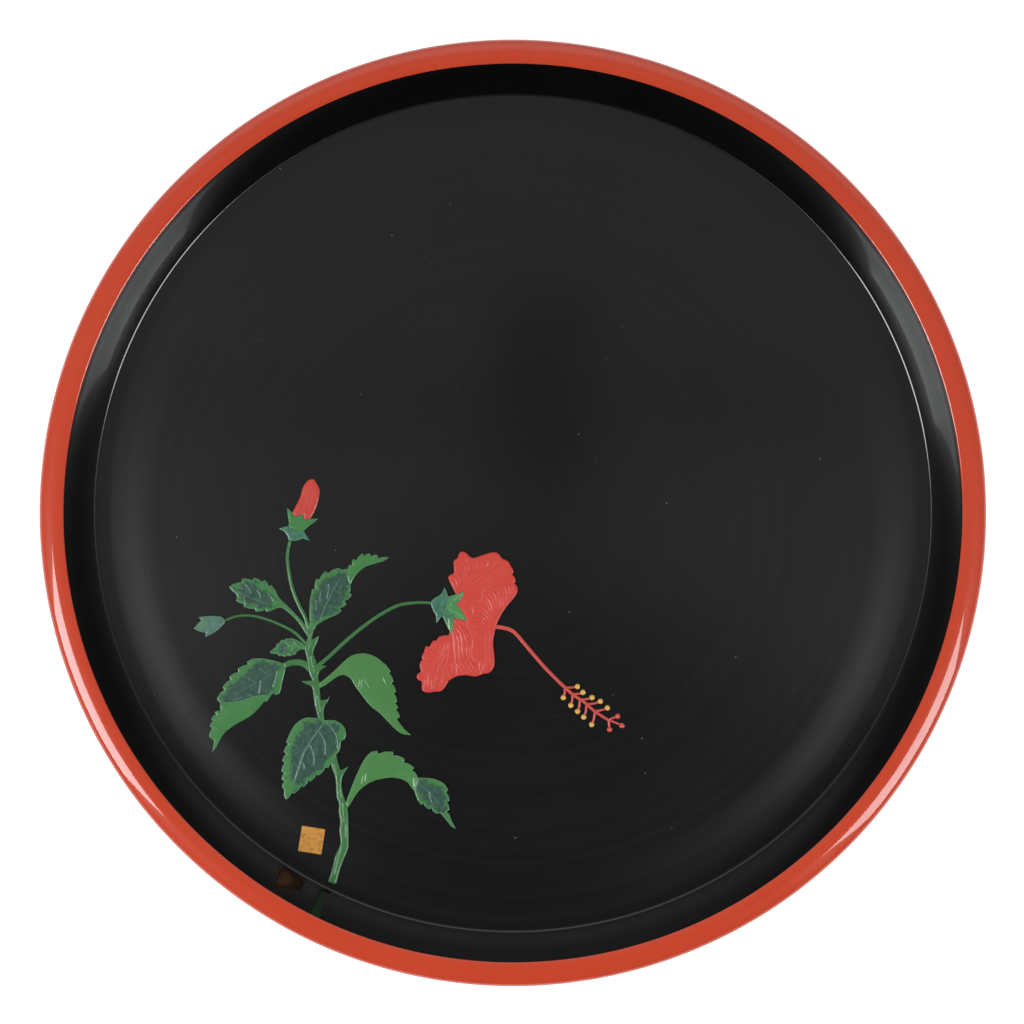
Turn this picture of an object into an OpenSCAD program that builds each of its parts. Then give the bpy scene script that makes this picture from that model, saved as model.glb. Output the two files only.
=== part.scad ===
// Round lacquered serving tray: a turned wooden body under three coats of lacquer,
// with a hibiscus plant cut from coloured lacquer putty and glued to the floor.
// The origin is the centre of the foot ring's face, and +Z points up.
// Outlines of the relief are in millimetres in the tray's own frame, +Y to the top.

/* [Tray] */
// Outer diameter over the rim
outer_d = 303; // [240:1:360]
// Height from the table to the top of the rim
height = 25; // [22:1:32]
// Height of the floor's top above the table
floor_z = 9; // [8:0.5:10]
// Slope of the hollow inner wall at its foot, measured from the floor
wall_foot = 54; // [50:1:60]
// Slope of the inner wall at its top
wall_top = 81; // [76:1:84]
// Slope of the outer wall
wall_slope = 67; // [60:1:72]
// Width of the rim from its crest to its outer edge
rim_w = 5.6; // [5:0.1:7]

/* [Foot ring] */
// Distance from the rim's outer edge in to the foot ring
foot_inset = 23.5; // [20:0.5:60]
// Width of the foot ring
foot_w = 6; // [5:0.5:9]
// Height of the foot ring below the tray's underside
foot_h = 2.5; // [2:0.1:3]

/* [Lacquer] */
// Thickness of each coat of lacquer on the wood
coat = 0.4; // [0.3:0.05:0.5]

/* [Relief] */
// Thickness of the stems and stalks
stem_t = 0.9; // [0.6:0.1:1.4]
// Thickness of the leaves
leaf_t = 0.8; // [0.6:0.1:1.2]
// Thickness of the petals
petal_t = 1.1; // [0.8:0.1:1.4]
// Thickness of the bright inner cup behind each flower
calyx_t = 1.3; // [1:0.1:1.5]
// Thickness of the stamens and stigmas
stamen_t = 0.8; // [0.6:0.1:1.2]
// Radius of one anther
anther_r = 0.9; // [0.7:0.05:1.1]
// Depth of the notches between a leaf's teeth
notch = 0.9; // [0.5:0.1:1]
// Width of the seal
seal_w = 7.6; // [6:0.1:9]
// Length of the seal
seal_l = 8.3; // [6:0.1:9]
// Thickness of the seal
seal_t = 0.4; // [0.3:0.1:0.8]

/* [Hidden] */
$fn = 96;

VERMILION = "#cc4830";
BLACK = "#1c1c1e";
WOOD = "#c9a877";
BRIGHT = "#4c884e";
DARK = "#3e6252";
FLOWER = "#cf4c46";
OCHRE = "#c88c3c";
POLLEN = "#e1af55";

lean = 90 - wall_slope;           // the outer wall's lean from upright
edge_round = 1;                   // inner edge of the rim
crown_round = 10;                 // rim between its inner edge and its crest
crown_turn = 12;                  // how far the rim turns down on that side, in degrees
floor_round = 1.2;                // corner between floor and wall
rim_drop = 3.2;                   // fall of the rim from its crest to its outer edge
lip_round = 4;                    // turn from the rim's edge into the outer wall
bottom_round = 8;                 // turn from the outer wall into the underside
foot_round = 1;                   // edges of the foot ring
colour_split = 140;               // angle on the rim's inner edge where black ends
outer_r = outer_d / 2;
crest_r = outer_r - rim_w;
foot_r = outer_r - foot_inset;
foot_in = foot_r - foot_w;
drawn_floor_r = 136.1;            // radius of the flat floor that the relief is drawn for

// Arc about c from angle a0 to a1 in n steps, as a circle or an ellipse
function arc(c, rx, ry, a0, a1, n) = [
    for (i = [0 : n]) let (a = a0 + (a1 - a0) * i / n) c + [rx * cos(a), ry * sin(a)]
];
function round_arc(c, r, a0, a1, n) = arc(c, r, r, a0, a1, n);
function rev(p) = [for (i = [len(p) - 1 : -1 : 0]) p[i]];
function tail(p) = [for (i = [1 : len(p) - 1]) p[i]];
function blend(a, b, t) = a + (b - a) * t;

// Radius of a sloping wall at height z, when it passes through p
function wall_r(p, z) = p.x - (p.y - z) / tan(wall_slope);

// Centres of the section's round corners and of its hollow inner wall
crown_c = [crest_r, height - crown_round];
edge_c = crown_c + (crown_round - edge_round) * [cos(90 + crown_turn), sin(90 + crown_turn)];
wall_end = edge_c + edge_round * [cos(90 + wall_top), sin(90 + wall_top)];
wall_start_z = floor_z + floor_round * (1 - cos(wall_foot));
wall_round = (wall_end.y - wall_start_z) / (cos(wall_foot) - cos(wall_top));
wall_c = wall_end - wall_round * [sin(wall_top), -cos(wall_top)];
floor_c = [wall_c.x + (wall_round - floor_round) * sin(wall_foot), floor_z + floor_round];
lip_c = [outer_r - lip_round, height - rim_drop];
lip_end = lip_c + lip_round * [cos(lean), -sin(lean)];
bottom_tangent_z = foot_h + bottom_round * (1 - sin(lean));
bottom_c = [wall_r(lip_end, bottom_tangent_z) - bottom_round * cos(lean), foot_h + bottom_round];

// The relief grows with the flat floor
plan_k = floor_c.x / drawn_floor_r;

// The tray's surface in section, d below the lacquer's face, in three runs
function inside_line(d) = concat(
    [[0, floor_z - d]],
    round_arc(floor_c, floor_round + d, -90, wall_foot - 90, 6),
    tail(round_arc(wall_c, wall_round + d, wall_foot - 90, wall_top - 90, 6)),
    tail(round_arc(edge_c, edge_round - d, 90 + wall_top, colour_split, 3))
);
function outside_line(d) = concat(
    round_arc(edge_c, edge_round - d, colour_split, 90 + crown_turn, 4),
    tail(round_arc(crown_c, crown_round - d, 90 + crown_turn, 90, 3)),
    tail(arc([crest_r, height - rim_drop], rim_w - d, rim_drop - d, 90, 0, 16)),
    tail(round_arc(lip_c, lip_round - d, 0, -lean, 5)),
    round_arc(bottom_c, bottom_round - d, -lean, -90, 10),
    [[foot_r - d, foot_h + d]]
);
function underside_line(d) = concat(
    [[foot_r - d, foot_h + d]],
    round_arc([foot_r - foot_round, foot_round], foot_round - d, 0, -90, 4),
    round_arc([foot_in + foot_round, foot_round], foot_round - d, -90, -180, 4),
    [[foot_in + d, foot_h + d], [0, foot_h + d]]
);

// A smooth curve through every point of p, in n steps from each point to the next
function spline(p, n = 4) = [
    for (i = [0 : len(p) - 2], k = [0 : n - 1])
        let (
            a = p[max(i - 1, 0)],
            b = p[i],
            c = p[i + 1],
            d = p[min(i + 2, len(p) - 1)],
            t = k / n
        )
        (2 * b + (c - a) * t + (2 * a - 5 * b + 4 * c - d) * pow(t, 2)
            + (3 * b - a - 3 * c + d) * pow(t, 3)) / 2,
    p[len(p) - 1]
];

// A leaf's toothed edge, from the stalk's end to the leaf's tip, through the tips of its
// teeth: behind each tip the edge drops in by depth and then bows out to the next one.
// side is 1 where the leaf lies on the left of that direction, and -1 on the right.
function teeth(tips, side, depth = notch) = [
    for (i = [0 : len(tips) - 2])
        let (
            step = tips[i + 1] - tips[i],
            inward = side * depth * [-step.y, step.x] / norm(step),
            low = tips[i] + 0.12 * step + inward
        )
        each [
            tips[i],
            low,
            blend(low, tips[i + 1], 0.35) - 0.4 * inward,
            blend(low, tips[i + 1], 0.75) - 0.3 * inward
        ],
    tips[len(tips) - 1]
];

// Both sides of a stalk along a curve, from width w0 to width w1
function strip(path, w0, w1) =
    let (
        n = len(path) - 1,
        half = [
            for (i = [0 : n])
                let (d = path[min(i + 1, n)] - path[max(i - 1, 0)])
                blend(w0, w1, i / n) / 2 * [-d.y, d.x] / norm(d)
        ]
    )
    concat(path + half, rev(path - half));

// ---- outlines of the plant

// Upper stem: from the fork under the bud stalk down to the centre leaf
stem_upper_line = concat(
    spline([[-66.9, -38.4], [-67.1, -41], [-68, -43.4], [-67.8, -45], [-67, -48.4], [-66.8, -51.2],
        [-65.4, -54.7]], 3),
    [[-69.1, -54.9]],
    spline([[-67.3, -55.9], [-65.5, -56.9], [-65, -60], [-64.5, -63], [-63.4, -67.6]], 3),
    spline([[-61.6, -67.7], [-61.8, -65], [-61.6, -63.3], [-60.5, -61.7]], 3),
    [[-59.8, -59.9], [-60.5, -60.8]],
    spline([[-62.7, -61.2], [-63, -59], [-63.1, -57.3], [-63.2, -55.4], [-63.6, -53.6], [-63.3, -52],
        [-62.3, -50.9]], 3),
    [[-60.8, -50], [-62.4, -49.7]],
    spline([[-64.1, -49.6], [-64.4, -48], [-65.2, -46], [-64.9, -44.2], [-64.1, -42.6]], 3),
    [[-63.2, -40.1], [-64.3, -40.7]],
    spline([[-65.6, -41.4], [-65.5, -40], [-65.1, -38.3]], 3)
);

// Lower stem: from beneath the centre leaf down to its cut foot
stem_lower_line = concat(
    spline([[-59.8, -81], [-58.7, -84], [-57.8, -87], [-57.5, -92.4], [-56.7, -94.8], [-56.8, -97.5],
        [-56.3, -100.5], [-56.6, -103.5], [-56.2, -107], [-56.6, -109.2], [-58, -112], [-58.7, -115.2],
        [-60.3, -120.3]], 3),
    [[-58.1, -121.1]],
    spline([[-57.7, -120.8], [-56.2, -115.5], [-54, -110], [-53.7, -107.5], [-53.8, -100.5],
        [-54.1, -96], [-55.3, -92.5], [-56, -89], [-55.7, -86.2], [-54.7, -84.3]], 3),
    [[-53.6, -82.7], [-55.2, -83.6], [-56.4, -84]],
    spline([[-56.8, -82.5], [-57.4, -80.5], [-57.6, -79]], 3)
);

flower_stalk_line = strip(
    spline([[-64.4, -50.5], [-60, -46.9], [-55, -42.2], [-50, -38], [-45, -34.3], [-40, -31.3],
        [-36.5, -29.9], [-33, -29.4], [-30, -29.2], [-26.5, -29.4]], 3),
    1.2, 0.8);
top_bud_stalk_line = strip(
    spline([[-66.6, -38.2], [-67.9, -34], [-69.9, -30], [-71.9, -25], [-73, -20], [-73.6, -15],
        [-73.3, -11.5], [-72.6, -8.6]]),
    1.1, 0.9);
side_bud_stalk_line = strip(
    spline([[-66.8, -43.4], [-68.7, -41.4], [-71.5, -38.8], [-76.5, -36.2], [-82, -34.2], [-86.5, -33.4],
        [-90.5, -33.8], [-94.4, -35.3]]),
    0.9, 0.65);
left_leaf_stalk_line = strip(
    spline([[-66, -51], [-67.6, -49.5], [-69.6, -48.8], [-71.8, -48.8], [-73.6, -49.3],
        [-75.4, -50.4]], 3),
    2.2, 1.7);

// Upper left leaf, with its own stalk
upper_left_leaf_line = concat(
    spline([[-66.5, -38.4], [-69.7, -34.4], [-73.4, -30.6], [-76.3, -27.8], [-77.6, -25.2]], 3),
    teeth([[-78.9, -23.6], [-81.2, -21.9], [-84.6, -21.2], [-88.4, -21.5], [-92.7, -24.2]], 1),
    spline([[-91.2, -25.8], [-90, -26.9], [-90.2, -28.4]], 2),
    rev(teeth([[-80.4, -32.3], [-84, -32.1], [-87.9, -30.5], [-90.2, -28.6]], -1, 0.8)),
    spline([[-79.2, -32], [-77.2, -31.1], [-75.4, -31], [-73.3, -32.4], [-70, -35.7], [-66.8, -40.6]], 3)
);

// Upper right leaf: its dark face, and the bright tip that curls over it
upper_right_fold = spline([[-53.9, -18.2], [-54.1, -20], [-53.8, -21.8], [-53.1, -23.5]], 3);
upper_right_leaf_line = concat(
    [[-65.1, -38.5], [-66.9, -38.5]],
    spline([[-66.3, -36], [-66.4, -31.5], [-66.2, -28.5]], 2),
    teeth([[-65.5, -24.9], [-64.1, -21.5], [-61, -19], [-56.9, -18]], -1),
    [[-55.7, -18.6]],
    upper_right_fold,
    spline([[-53, -24.8], [-53.4, -26]], 2),
    rev(teeth([[-56, -31.9], [-54.4, -29.6], [-52.7, -26.7]], 1, 1)),
    spline([[-57.2, -33], [-60, -34.2], [-62.5, -35.5], [-64.3, -36.8]], 2)
);
upper_right_tip_line = concat(
    [[-53.9, -18.2]],
    teeth([[-53.3, -16.8], [-52, -15], [-48.9, -13.2], [-46.5, -13.3], [-44.2, -13.8], [-40.5, -14.6]],
        -1, 1),
    spline([[-42.5, -15.8], [-47.5, -17.3], [-50, -18.9], [-51.8, -20.9]], 3),
    rev(tail(upper_right_fold))
);

small_left_leaf_line = concat(
    spline([[-66.8, -43.8], [-69.5, -42], [-71.2, -41.2]], 3),
    teeth([[-72.8, -40.8], [-74.4, -41.1], [-75.9, -41.7], [-77.2, -43], [-79.3, -45.6]], 1, 0.5),
    rev(teeth([[-71.4, -46.4], [-73.1, -46.7], [-75, -46.9], [-76.5, -46.5], [-79.3, -45.6]], -1, 0.4)),
    spline([[-70.4, -45.2], [-69.2, -44.5], [-67, -44.6]], 2)
);

// Large left leaf: its dark face and the bright lobe folded up from below
left_fold = spline([[-95.5, -62.1], [-90, -61.5], [-86, -60.4], [-82.5, -59.5], [-79, -59.6]], 3);
left_leaf_line = concat(
    spline([[-74.3, -51.2], [-74.9, -49.3], [-78.5, -48.1], [-82, -47.5], [-85, -47.6]], 3),
    teeth([[-86.7, -48.5], [-89.8, -51], [-92.6, -53.6], [-94.7, -56.9], [-96.6, -60.8]], 1),
    left_fold,
    spline([[-78.2, -58.7], [-77.2, -59.3], [-76.1, -58.6], [-75.4, -55.5]], 3)
);
left_lobe_line = concat(
    [[-95.5, -62.1]],
    teeth([[-95.5, -63.8], [-97.4, -65.1], [-98.5, -67.4], [-98.9, -69.7], [-99.1, -73.2]], 1, 0.8),
    [[-97.5, -74.4], [-98.1, -78.1]],
    spline([[-96.8, -76.3], [-95.6, -74], [-94.2, -71.8], [-91.6, -69.7], [-88.8, -68], [-85.5, -66.1],
        [-82.8, -63.5], [-81.3, -61.5]], 3),
    [[-80.3, -61.5]],
    rev(tail(left_fold))
);

right_leaf_line = concat(
    spline([[-64, -56], [-62.4, -55], [-59, -52.2], [-55, -48.4], [-53.3, -47], [-51.5, -46.2],
        [-49.5, -45.9], [-47.5, -46], [-44.5, -47.2], [-41.5, -49.6]], 3),
    teeth([[-39.9, -51.7], [-39, -55], [-38.2, -58.4], [-37.9, -61.7], [-37.6, -63.7], [-37, -66.5]],
        -1, 0.8),
    [[-37.9, -67.4], [-35.5, -70.6], [-33.3, -72.5]],
    spline([[-35.3, -72.3], [-37.5, -71.3], [-40.5, -68.4], [-43.5, -65.3], [-46, -63.4], [-48, -61.2],
        [-51.5, -56.4], [-53, -54], [-55.4, -52.8], [-57.5, -53.5], [-61, -56], [-64, -57.6]], 3)
);

centre_leaf_line = concat(
    spline([[-61.5, -67.6], [-63, -67.1], [-67, -66.8], [-69, -67.5], [-71, -69], [-72.6, -71.5]], 3),
    teeth([[-74, -74.8], [-74.7, -78.1], [-75.2, -81.1], [-75.5, -84.5], [-75.3, -87.2], [-75.2, -89.6]],
        1, 0.8),
    [[-74.6, -90.4], [-74.7, -92.2], [-74.1, -93.6]],
    rev(teeth([[-60.3, -83.2], [-63.5, -85.7], [-66.2, -87.6], [-68.3, -89.4], [-71.6, -91.6],
        [-74.1, -93.6]], -1, 0.7)),
    spline([[-59.7, -82], [-58.3, -80], [-57.6, -78.6]], 2),
    spline([[-57, -78.1], [-56.4, -76.6], [-56.2, -74.4]], 2),
    spline([[-55, -73.9], [-54.5, -72.3], [-55, -70.2], [-56.3, -68.7], [-58.2, -67.7]], 3)
);

// Lowest leaf: its bright blade and the dark tip folded forward
lower_fold = spline([[-31.1, -86.4], [-31.3, -88.6], [-32, -91]], 3);
lower_leaf_line = concat(
    spline([[-54.5, -94.6], [-53.2, -91], [-51, -85.5], [-48.8, -81], [-47.5, -79.2],
        [-46.2, -78]], 3),
    teeth([[-44.4, -77.6], [-39.1, -78], [-35.4, -80.3], [-32.2, -83.3], [-31.1, -86.4]], -1, 1),
    tail(lower_fold),
    spline([[-34.2, -88], [-36.2, -86.9], [-38.5, -86.4], [-41, -86.4], [-46, -87.6], [-50.2, -90.6],
        [-53.4, -95.4], [-54.8, -97.2]], 3)
);
lower_tip_line = concat(
    spline([[-31.1, -86.4], [-26.5, -86.7], [-23.8, -87.6], [-22.2, -88.7]], 3),
    teeth([[-21.1, -90.5], [-20.8, -94], [-20.9, -97], [-20.5, -99.6]], -1),
    [[-18.7, -103.1], [-20.1, -102.3]],
    spline([[-21.6, -100.4], [-23.7, -97.9]], 2),
    rev(teeth([[-29.9, -95.3], [-27.3, -96.7], [-25, -98.1]], 1, 0.8)),
    spline([[-31, -93.8], [-31.6, -92.3]], 2),
    rev(tail(lower_fold))
);

side_bud_line = concat(
    spline([[-94.1, -34.9], [-95, -34], [-97, -33.6], [-100.3, -33.7]], 3),
    [[-102.5, -34], [-101.6, -34.9], [-104.1, -37.7], [-101.8, -38.8], [-100.1, -39], [-100.3, -40.4]],
    spline([[-98.3, -39.5], [-96.3, -38.2], [-94.6, -36.6], [-94, -35.7]], 3)
);

// Bud at the top: rolled petals in a bright cup, with a dark outer cup below
top_bud_crown = [[-72, 0.1], [-70.8, -1.3], [-68.4, -0.3], [-68.2, -2.2], [-66, -1.9]];
top_bud_seam = spline([[-73.1, -4.2], [-71.2, -5.7], [-68.2, -5.8]], 3);
top_bud_petals_line = concat(
    spline([[-72, 0.1], [-69.6, 4.6], [-68.6, 8], [-67.5, 9.9], [-66.2, 10.9], [-65, 11],
        [-64.3, 10], [-63.3, 8.2], [-63.1, 6.4], [-63.8, 3], [-64.9, 0.4], [-66, -1.9]], 3),
    rev([for (i = [1 : 3]) top_bud_crown[i]])
);
top_bud_calyx_line = concat(
    top_bud_crown,
    [[-63.6, -1.9]],
    spline([[-64.9, -3], [-67.4, -5]], 2),
    rev(top_bud_seam),
    spline([[-73, -2.8], [-73.4, -0.6]], 2),
    [[-73.6, 1.6]]
);
top_bud_epicalyx_line = concat(
    top_bud_seam,
    [[-68.1, -6.4]],
    [[-66.4, -9]],
    spline([[-68.5, -8.3], [-70.8, -9], [-73, -9]], 3),
    spline([[-73.6, -7.4], [-74.5, -6.1]], 2),
    [[-76.4, -5.1]],
    [[-74.4, -4.5]]
);

// Flower cups: five bright points over the petals, with a dark cup behind them
flower_seam = spline([[-21.2, -27.3], [-21.7, -30], [-23, -33.6]], 3);
flower_calyx_line = concat(
    rev(flower_seam),
    spline([[-18.8, -26.7], [-17.3, -26.1]], 2),
    [[-16, -25.6]],
    spline([[-16.5, -27.2], [-17.3, -28.5], [-18.5, -29.7]], 2),
    spline([[-17.2, -31.3], [-16.1, -33]], 2),
    [[-15, -35.2]],
    spline([[-17, -34.7], [-19.3, -34.1]], 2),
    [[-19.4, -36]],
    [[-20, -39.5]],
    spline([[-21, -37.9], [-22, -35.6]], 2)
);
flower_epicalyx_line = concat(
    flower_seam,
    [[-23.7, -34.2]],
    [[-24.9, -35.9]],
    spline([[-25.1, -33.3], [-26, -31.8], [-26.8, -29.3], [-25.5, -27.8], [-24, -27], [-23, -25.9]], 3),
    [[-22.3, -24.4]],
    [[-21.7, -25.6]]
);

// Petals: scalloped outer edges, and ruffled seams where one lies over the next
front_seam = spline([[0.4, -23], [-4.7, -23.1], [-8, -24], [-9.9, -26.2], [-10.3, -28.2], [-13.3, -30.5],
    [-13.1, -33], [-15.3, -35]], 3);
side_seam = spline([[-15.3, -35], [-14.5, -37.8], [-13.3, -41], [-13.3, -47.3], [-11.3, -49.6],
    [-10.6, -52.8]], 3);
low_seam = spline([[-19.9, -38.9], [-19.6, -43], [-19.3, -46.6], [-18.7, -50], [-18.6, -53.3]], 3);
upper_petal_line = concat(
    rev(front_seam),
    [[0.9, -22]],
    spline([[0.5, -20.8], [-0.3, -20.1], [0.2, -19], [-0.9, -17], [-1.6, -15.8], [-3.6, -14.8],
        [-4.3, -13.8], [-5.4, -12.9], [-7.4, -13], [-10, -13.8], [-12.8, -14.7], [-14, -14.3],
        [-15.3, -13.1], [-16.4, -12.6], [-17.4, -13], [-18.1, -14.8], [-19.3, -15.6], [-19.2, -18],
        [-19.3, -19.7], [-20.7, -20.4], [-21, -21.4], [-19.8, -24], [-18.5, -26.6]], 3),
    [[-20.5, -29]],
    [[-18, -33]]
);
front_petal_line = concat(
    front_seam,
    tail(side_seam),
    spline([[-9.6, -52.4], [-8.2, -52.3], [-7, -51.5], [-6.1, -49.6], [-6.1, -46.5], [-6.5, -42.5],
        [-6.1, -39.5], [-5.3, -36.3], [-4.2, -33.9], [-2.4, -30.9], [0.4, -27.6], [1.5, -25.4],
        [1.3, -23.9]], 3)
);
middle_petal_line = concat(
    [[-20.3, -36], [-18, -33]],
    side_seam,
    spline([[-12.2, -53.4], [-14, -53.1], [-16, -52.9], [-18.6, -53.3]], 3),
    rev(low_seam)
);
lower_petal_line = concat(
    low_seam,
    spline([[-20.9, -54.7], [-22.4, -57.2], [-23.7, -58.2], [-25.6, -58.3], [-28, -58.6], [-29.4, -58],
        [-29.7, -56.6], [-29.6, -55]], 3),
    spline([[-30.9, -54.4], [-31.4, -53.4], [-30.9, -52.4], [-30, -51.7], [-30.4, -49.9], [-30.2, -48.7],
        [-29.5, -47.9], [-29.7, -46.8], [-29, -45.4], [-28.4, -43.5], [-27.3, -43.6], [-26, -41.7],
        [-24.9, -41.6], [-24.2, -40.5], [-22.8, -40], [-20.9, -39.9]], 3),
    [[-20.6, -38.6]]
);

// Staminal column, with five pairs of filaments and three styles at its end
column_path = spline([[-6.6, -37], [-3, -37.5], [-0.5, -38.3], [1.5, -40], [4, -43], [10, -50],
    [13.5, -53.6], [17, -57], [20, -59.6], [23.5, -61.9], [26.5, -64.6], [31.4, -67.8]], 4);
column_line = strip(column_path, 1.3, 0.8);
filament_roots = [[16.9, -56.9], [19.4, -59.1], [21.8, -60.9], [24, -62.4], [26.7, -64.7]];
filament_w = 0.6;
filament_bow = 0.06;              // sideways bow of a filament, as a share of its length
thread_drop = 0.1;                // how much thinner a filament is than the column
bead_rise = 0.2;                  // how much thicker an anther is than the column
anther_reach = [4.1, 3.5, 4.1, 4.5, 4.1];
style_root = [31.2, -67.6];
stigma_places = [[34.2, -66.3], [35.6, -69.4], [31.5, -70.7]];

// Anthers of pair i: the upper one reaches out sideways, the lower one hangs down
function upper_anther(i) = filament_roots[i] + [anther_reach[i], 0.3 + 0.2 * i];
function lower_anther(i) = filament_roots[i] + [-0.4 - 0.15 * i, -3.4 - 0.25 * i];
function anther_places() = [
    for (i = [0 : len(filament_roots) - 1]) each [upper_anther(i), lower_anther(i)]
];

// A filament from its root to a, bowed sideways by bow
function filament(root, a, bow) =
    let (d = a - root)
    strip(spline([root, root + 0.55 * d + bow * [-d.y, d.x], a], 4), filament_w, filament_w);

// ---- modules

// A plate of putty on the tray's floor, less the pieces that it butts against
module plate(outline, t, less = []) {
    translate([0, 0, floor_z])
        linear_extrude(t)
            difference() {
                polygon(plan_k * outline);
                for (other = less) polygon(plan_k * other);
            }
}

module wood_core() {
    color(WOOD)
        rotate_extrude()
            polygon(concat(inside_line(coat), tail(outside_line(coat)), tail(underside_line(coat))));
}
module inside_lacquer() {
    color(BLACK)
        rotate_extrude()
            polygon(concat(inside_line(0), rev(inside_line(coat))));
}
module outside_lacquer() {
    color(VERMILION)
        rotate_extrude()
            polygon(concat(outside_line(0), rev(outside_line(coat))));
}
module underside_lacquer() {
    color(VERMILION)
        rotate_extrude()
            polygon(concat(underside_line(0), rev(underside_line(coat))));
}

module stem_lower() { color(BRIGHT) plate(stem_lower_line, stem_t, [centre_leaf_line]); }
module stem_upper() { color(BRIGHT) plate(stem_upper_line, stem_t, [centre_leaf_line]); }
module flower_stalk() {
    color(BRIGHT) plate(flower_stalk_line, stem_t, [stem_upper_line, flower_epicalyx_line]);
}
module top_bud_stalk() {
    color(BRIGHT)
        plate(top_bud_stalk_line, stem_t,
            [stem_upper_line, top_bud_epicalyx_line, upper_right_leaf_line]);
}
module side_bud_stalk() {
    color(BRIGHT)
        plate(side_bud_stalk_line, stem_t, [stem_upper_line, side_bud_line]);
}
module left_leaf_stalk() {
    color(BRIGHT) plate(left_leaf_stalk_line, stem_t, [stem_upper_line, left_leaf_line]);
}
module upper_left_leaf() {
    color(DARK)
        plate(upper_left_leaf_line, leaf_t,
            [stem_upper_line, top_bud_stalk_line, upper_right_leaf_line]);
}
module upper_right_leaf() { color(DARK) plate(upper_right_leaf_line, leaf_t, [stem_upper_line]); }
module upper_right_leaf_tip() { color(BRIGHT) plate(upper_right_tip_line, leaf_t); }
module small_left_leaf() {
    color(BRIGHT) plate(small_left_leaf_line, leaf_t, [stem_upper_line, side_bud_stalk_line]);
}
module left_leaf() { color(DARK) plate(left_leaf_line, leaf_t); }
module left_leaf_fold() { color(BRIGHT) plate(left_lobe_line, leaf_t); }
module right_leaf() { color(BRIGHT) plate(right_leaf_line, leaf_t, [stem_upper_line]); }
module centre_leaf() { color(DARK) plate(centre_leaf_line, leaf_t); }
module lower_leaf() { color(BRIGHT) plate(lower_leaf_line, leaf_t, [stem_lower_line]); }
module lower_leaf_tip() { color(DARK) plate(lower_tip_line, leaf_t); }
module side_bud() { color(DARK) plate(side_bud_line, calyx_t); }
module top_bud_petals() { color(FLOWER) plate(top_bud_petals_line, petal_t); }
module top_bud_calyx() { color(BRIGHT) plate(top_bud_calyx_line, calyx_t); }
module top_bud_epicalyx() { color(DARK) plate(top_bud_epicalyx_line, leaf_t); }
module upper_petal() { color(FLOWER) plate(upper_petal_line, petal_t, [flower_calyx_line]); }
module front_petal() { color(FLOWER) plate(front_petal_line, petal_t, [flower_calyx_line]); }
module middle_petal() { color(FLOWER) plate(middle_petal_line, petal_t, [flower_calyx_line]); }
module lower_petal() { color(FLOWER) plate(lower_petal_line, petal_t, [flower_calyx_line]); }
module flower_calyx() { color(BRIGHT) plate(flower_calyx_line, calyx_t); }
module flower_epicalyx() { color(DARK) plate(flower_epicalyx_line, leaf_t); }
module stamen_column() { color(FLOWER) plate(column_line, stamen_t, [front_petal_line]); }

module dot(p, t) {
    translate([plan_k * p.x, plan_k * p.y, floor_z])
        cylinder(r = anther_r, h = t);
}
// A thin strip cut clear of the column at one end and of a dot at the other
module thread(line, dot_place) {
    difference() {
        plate(line, stamen_t - thread_drop, [column_line]);
        dot(dot_place, stamen_t);
    }
}
module filaments() {
    color(FLOWER)
        for (i = [0 : len(filament_roots) - 1]) {
            thread(filament(filament_roots[i], upper_anther(i), -filament_bow), upper_anther(i));
            thread(filament(filament_roots[i], lower_anther(i), filament_bow), lower_anther(i));
        }
}
module anthers() { color(POLLEN) for (p = anther_places()) dot(p, stamen_t + bead_rise); }
module styles() {
    color(FLOWER)
        for (p = stigma_places) thread(filament(style_root, p, filament_bow / 3), p);
}
module stigmas() { color(FLOWER) for (p = stigma_places) dot(p, stamen_t + bead_rise); }

seal_place = [-65.7, -106.8];
seal_turn = -9;
module seal_plate() {
    color(OCHRE)
        translate([plan_k * seal_place.x, plan_k * seal_place.y, floor_z])
            rotate(seal_turn)
                linear_extrude(seal_t)
                    square([seal_w, seal_l], center = true);
}

wood_core();
inside_lacquer();
outside_lacquer();
underside_lacquer();
stem_lower();
stem_upper();
flower_stalk();
top_bud_stalk();
side_bud_stalk();
left_leaf_stalk();
upper_left_leaf();
upper_right_leaf();
upper_right_leaf_tip();
small_left_leaf();
left_leaf();
left_leaf_fold();
right_leaf();
centre_leaf();
lower_leaf();
lower_leaf_tip();
side_bud();
top_bud_petals();
top_bud_calyx();
top_bud_epicalyx();
upper_petal();
front_petal();
middle_petal();
lower_petal();
flower_calyx();
flower_epicalyx();
stamen_column();
filaments();
anthers();
styles();
stigmas();
seal_plate();
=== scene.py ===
# The looks of a round lacquered tray: a turned wooden body under black and vermilion lacquer,
# with a hibiscus plant in raised lacquer putty. Outlines come from the CAD nodes, so every
# piece sits where the frame says. Shapes are worked out in millimetres.

import math

import bmesh
import bpy
import numpy as np
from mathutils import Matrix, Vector, geometry, noise


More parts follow.
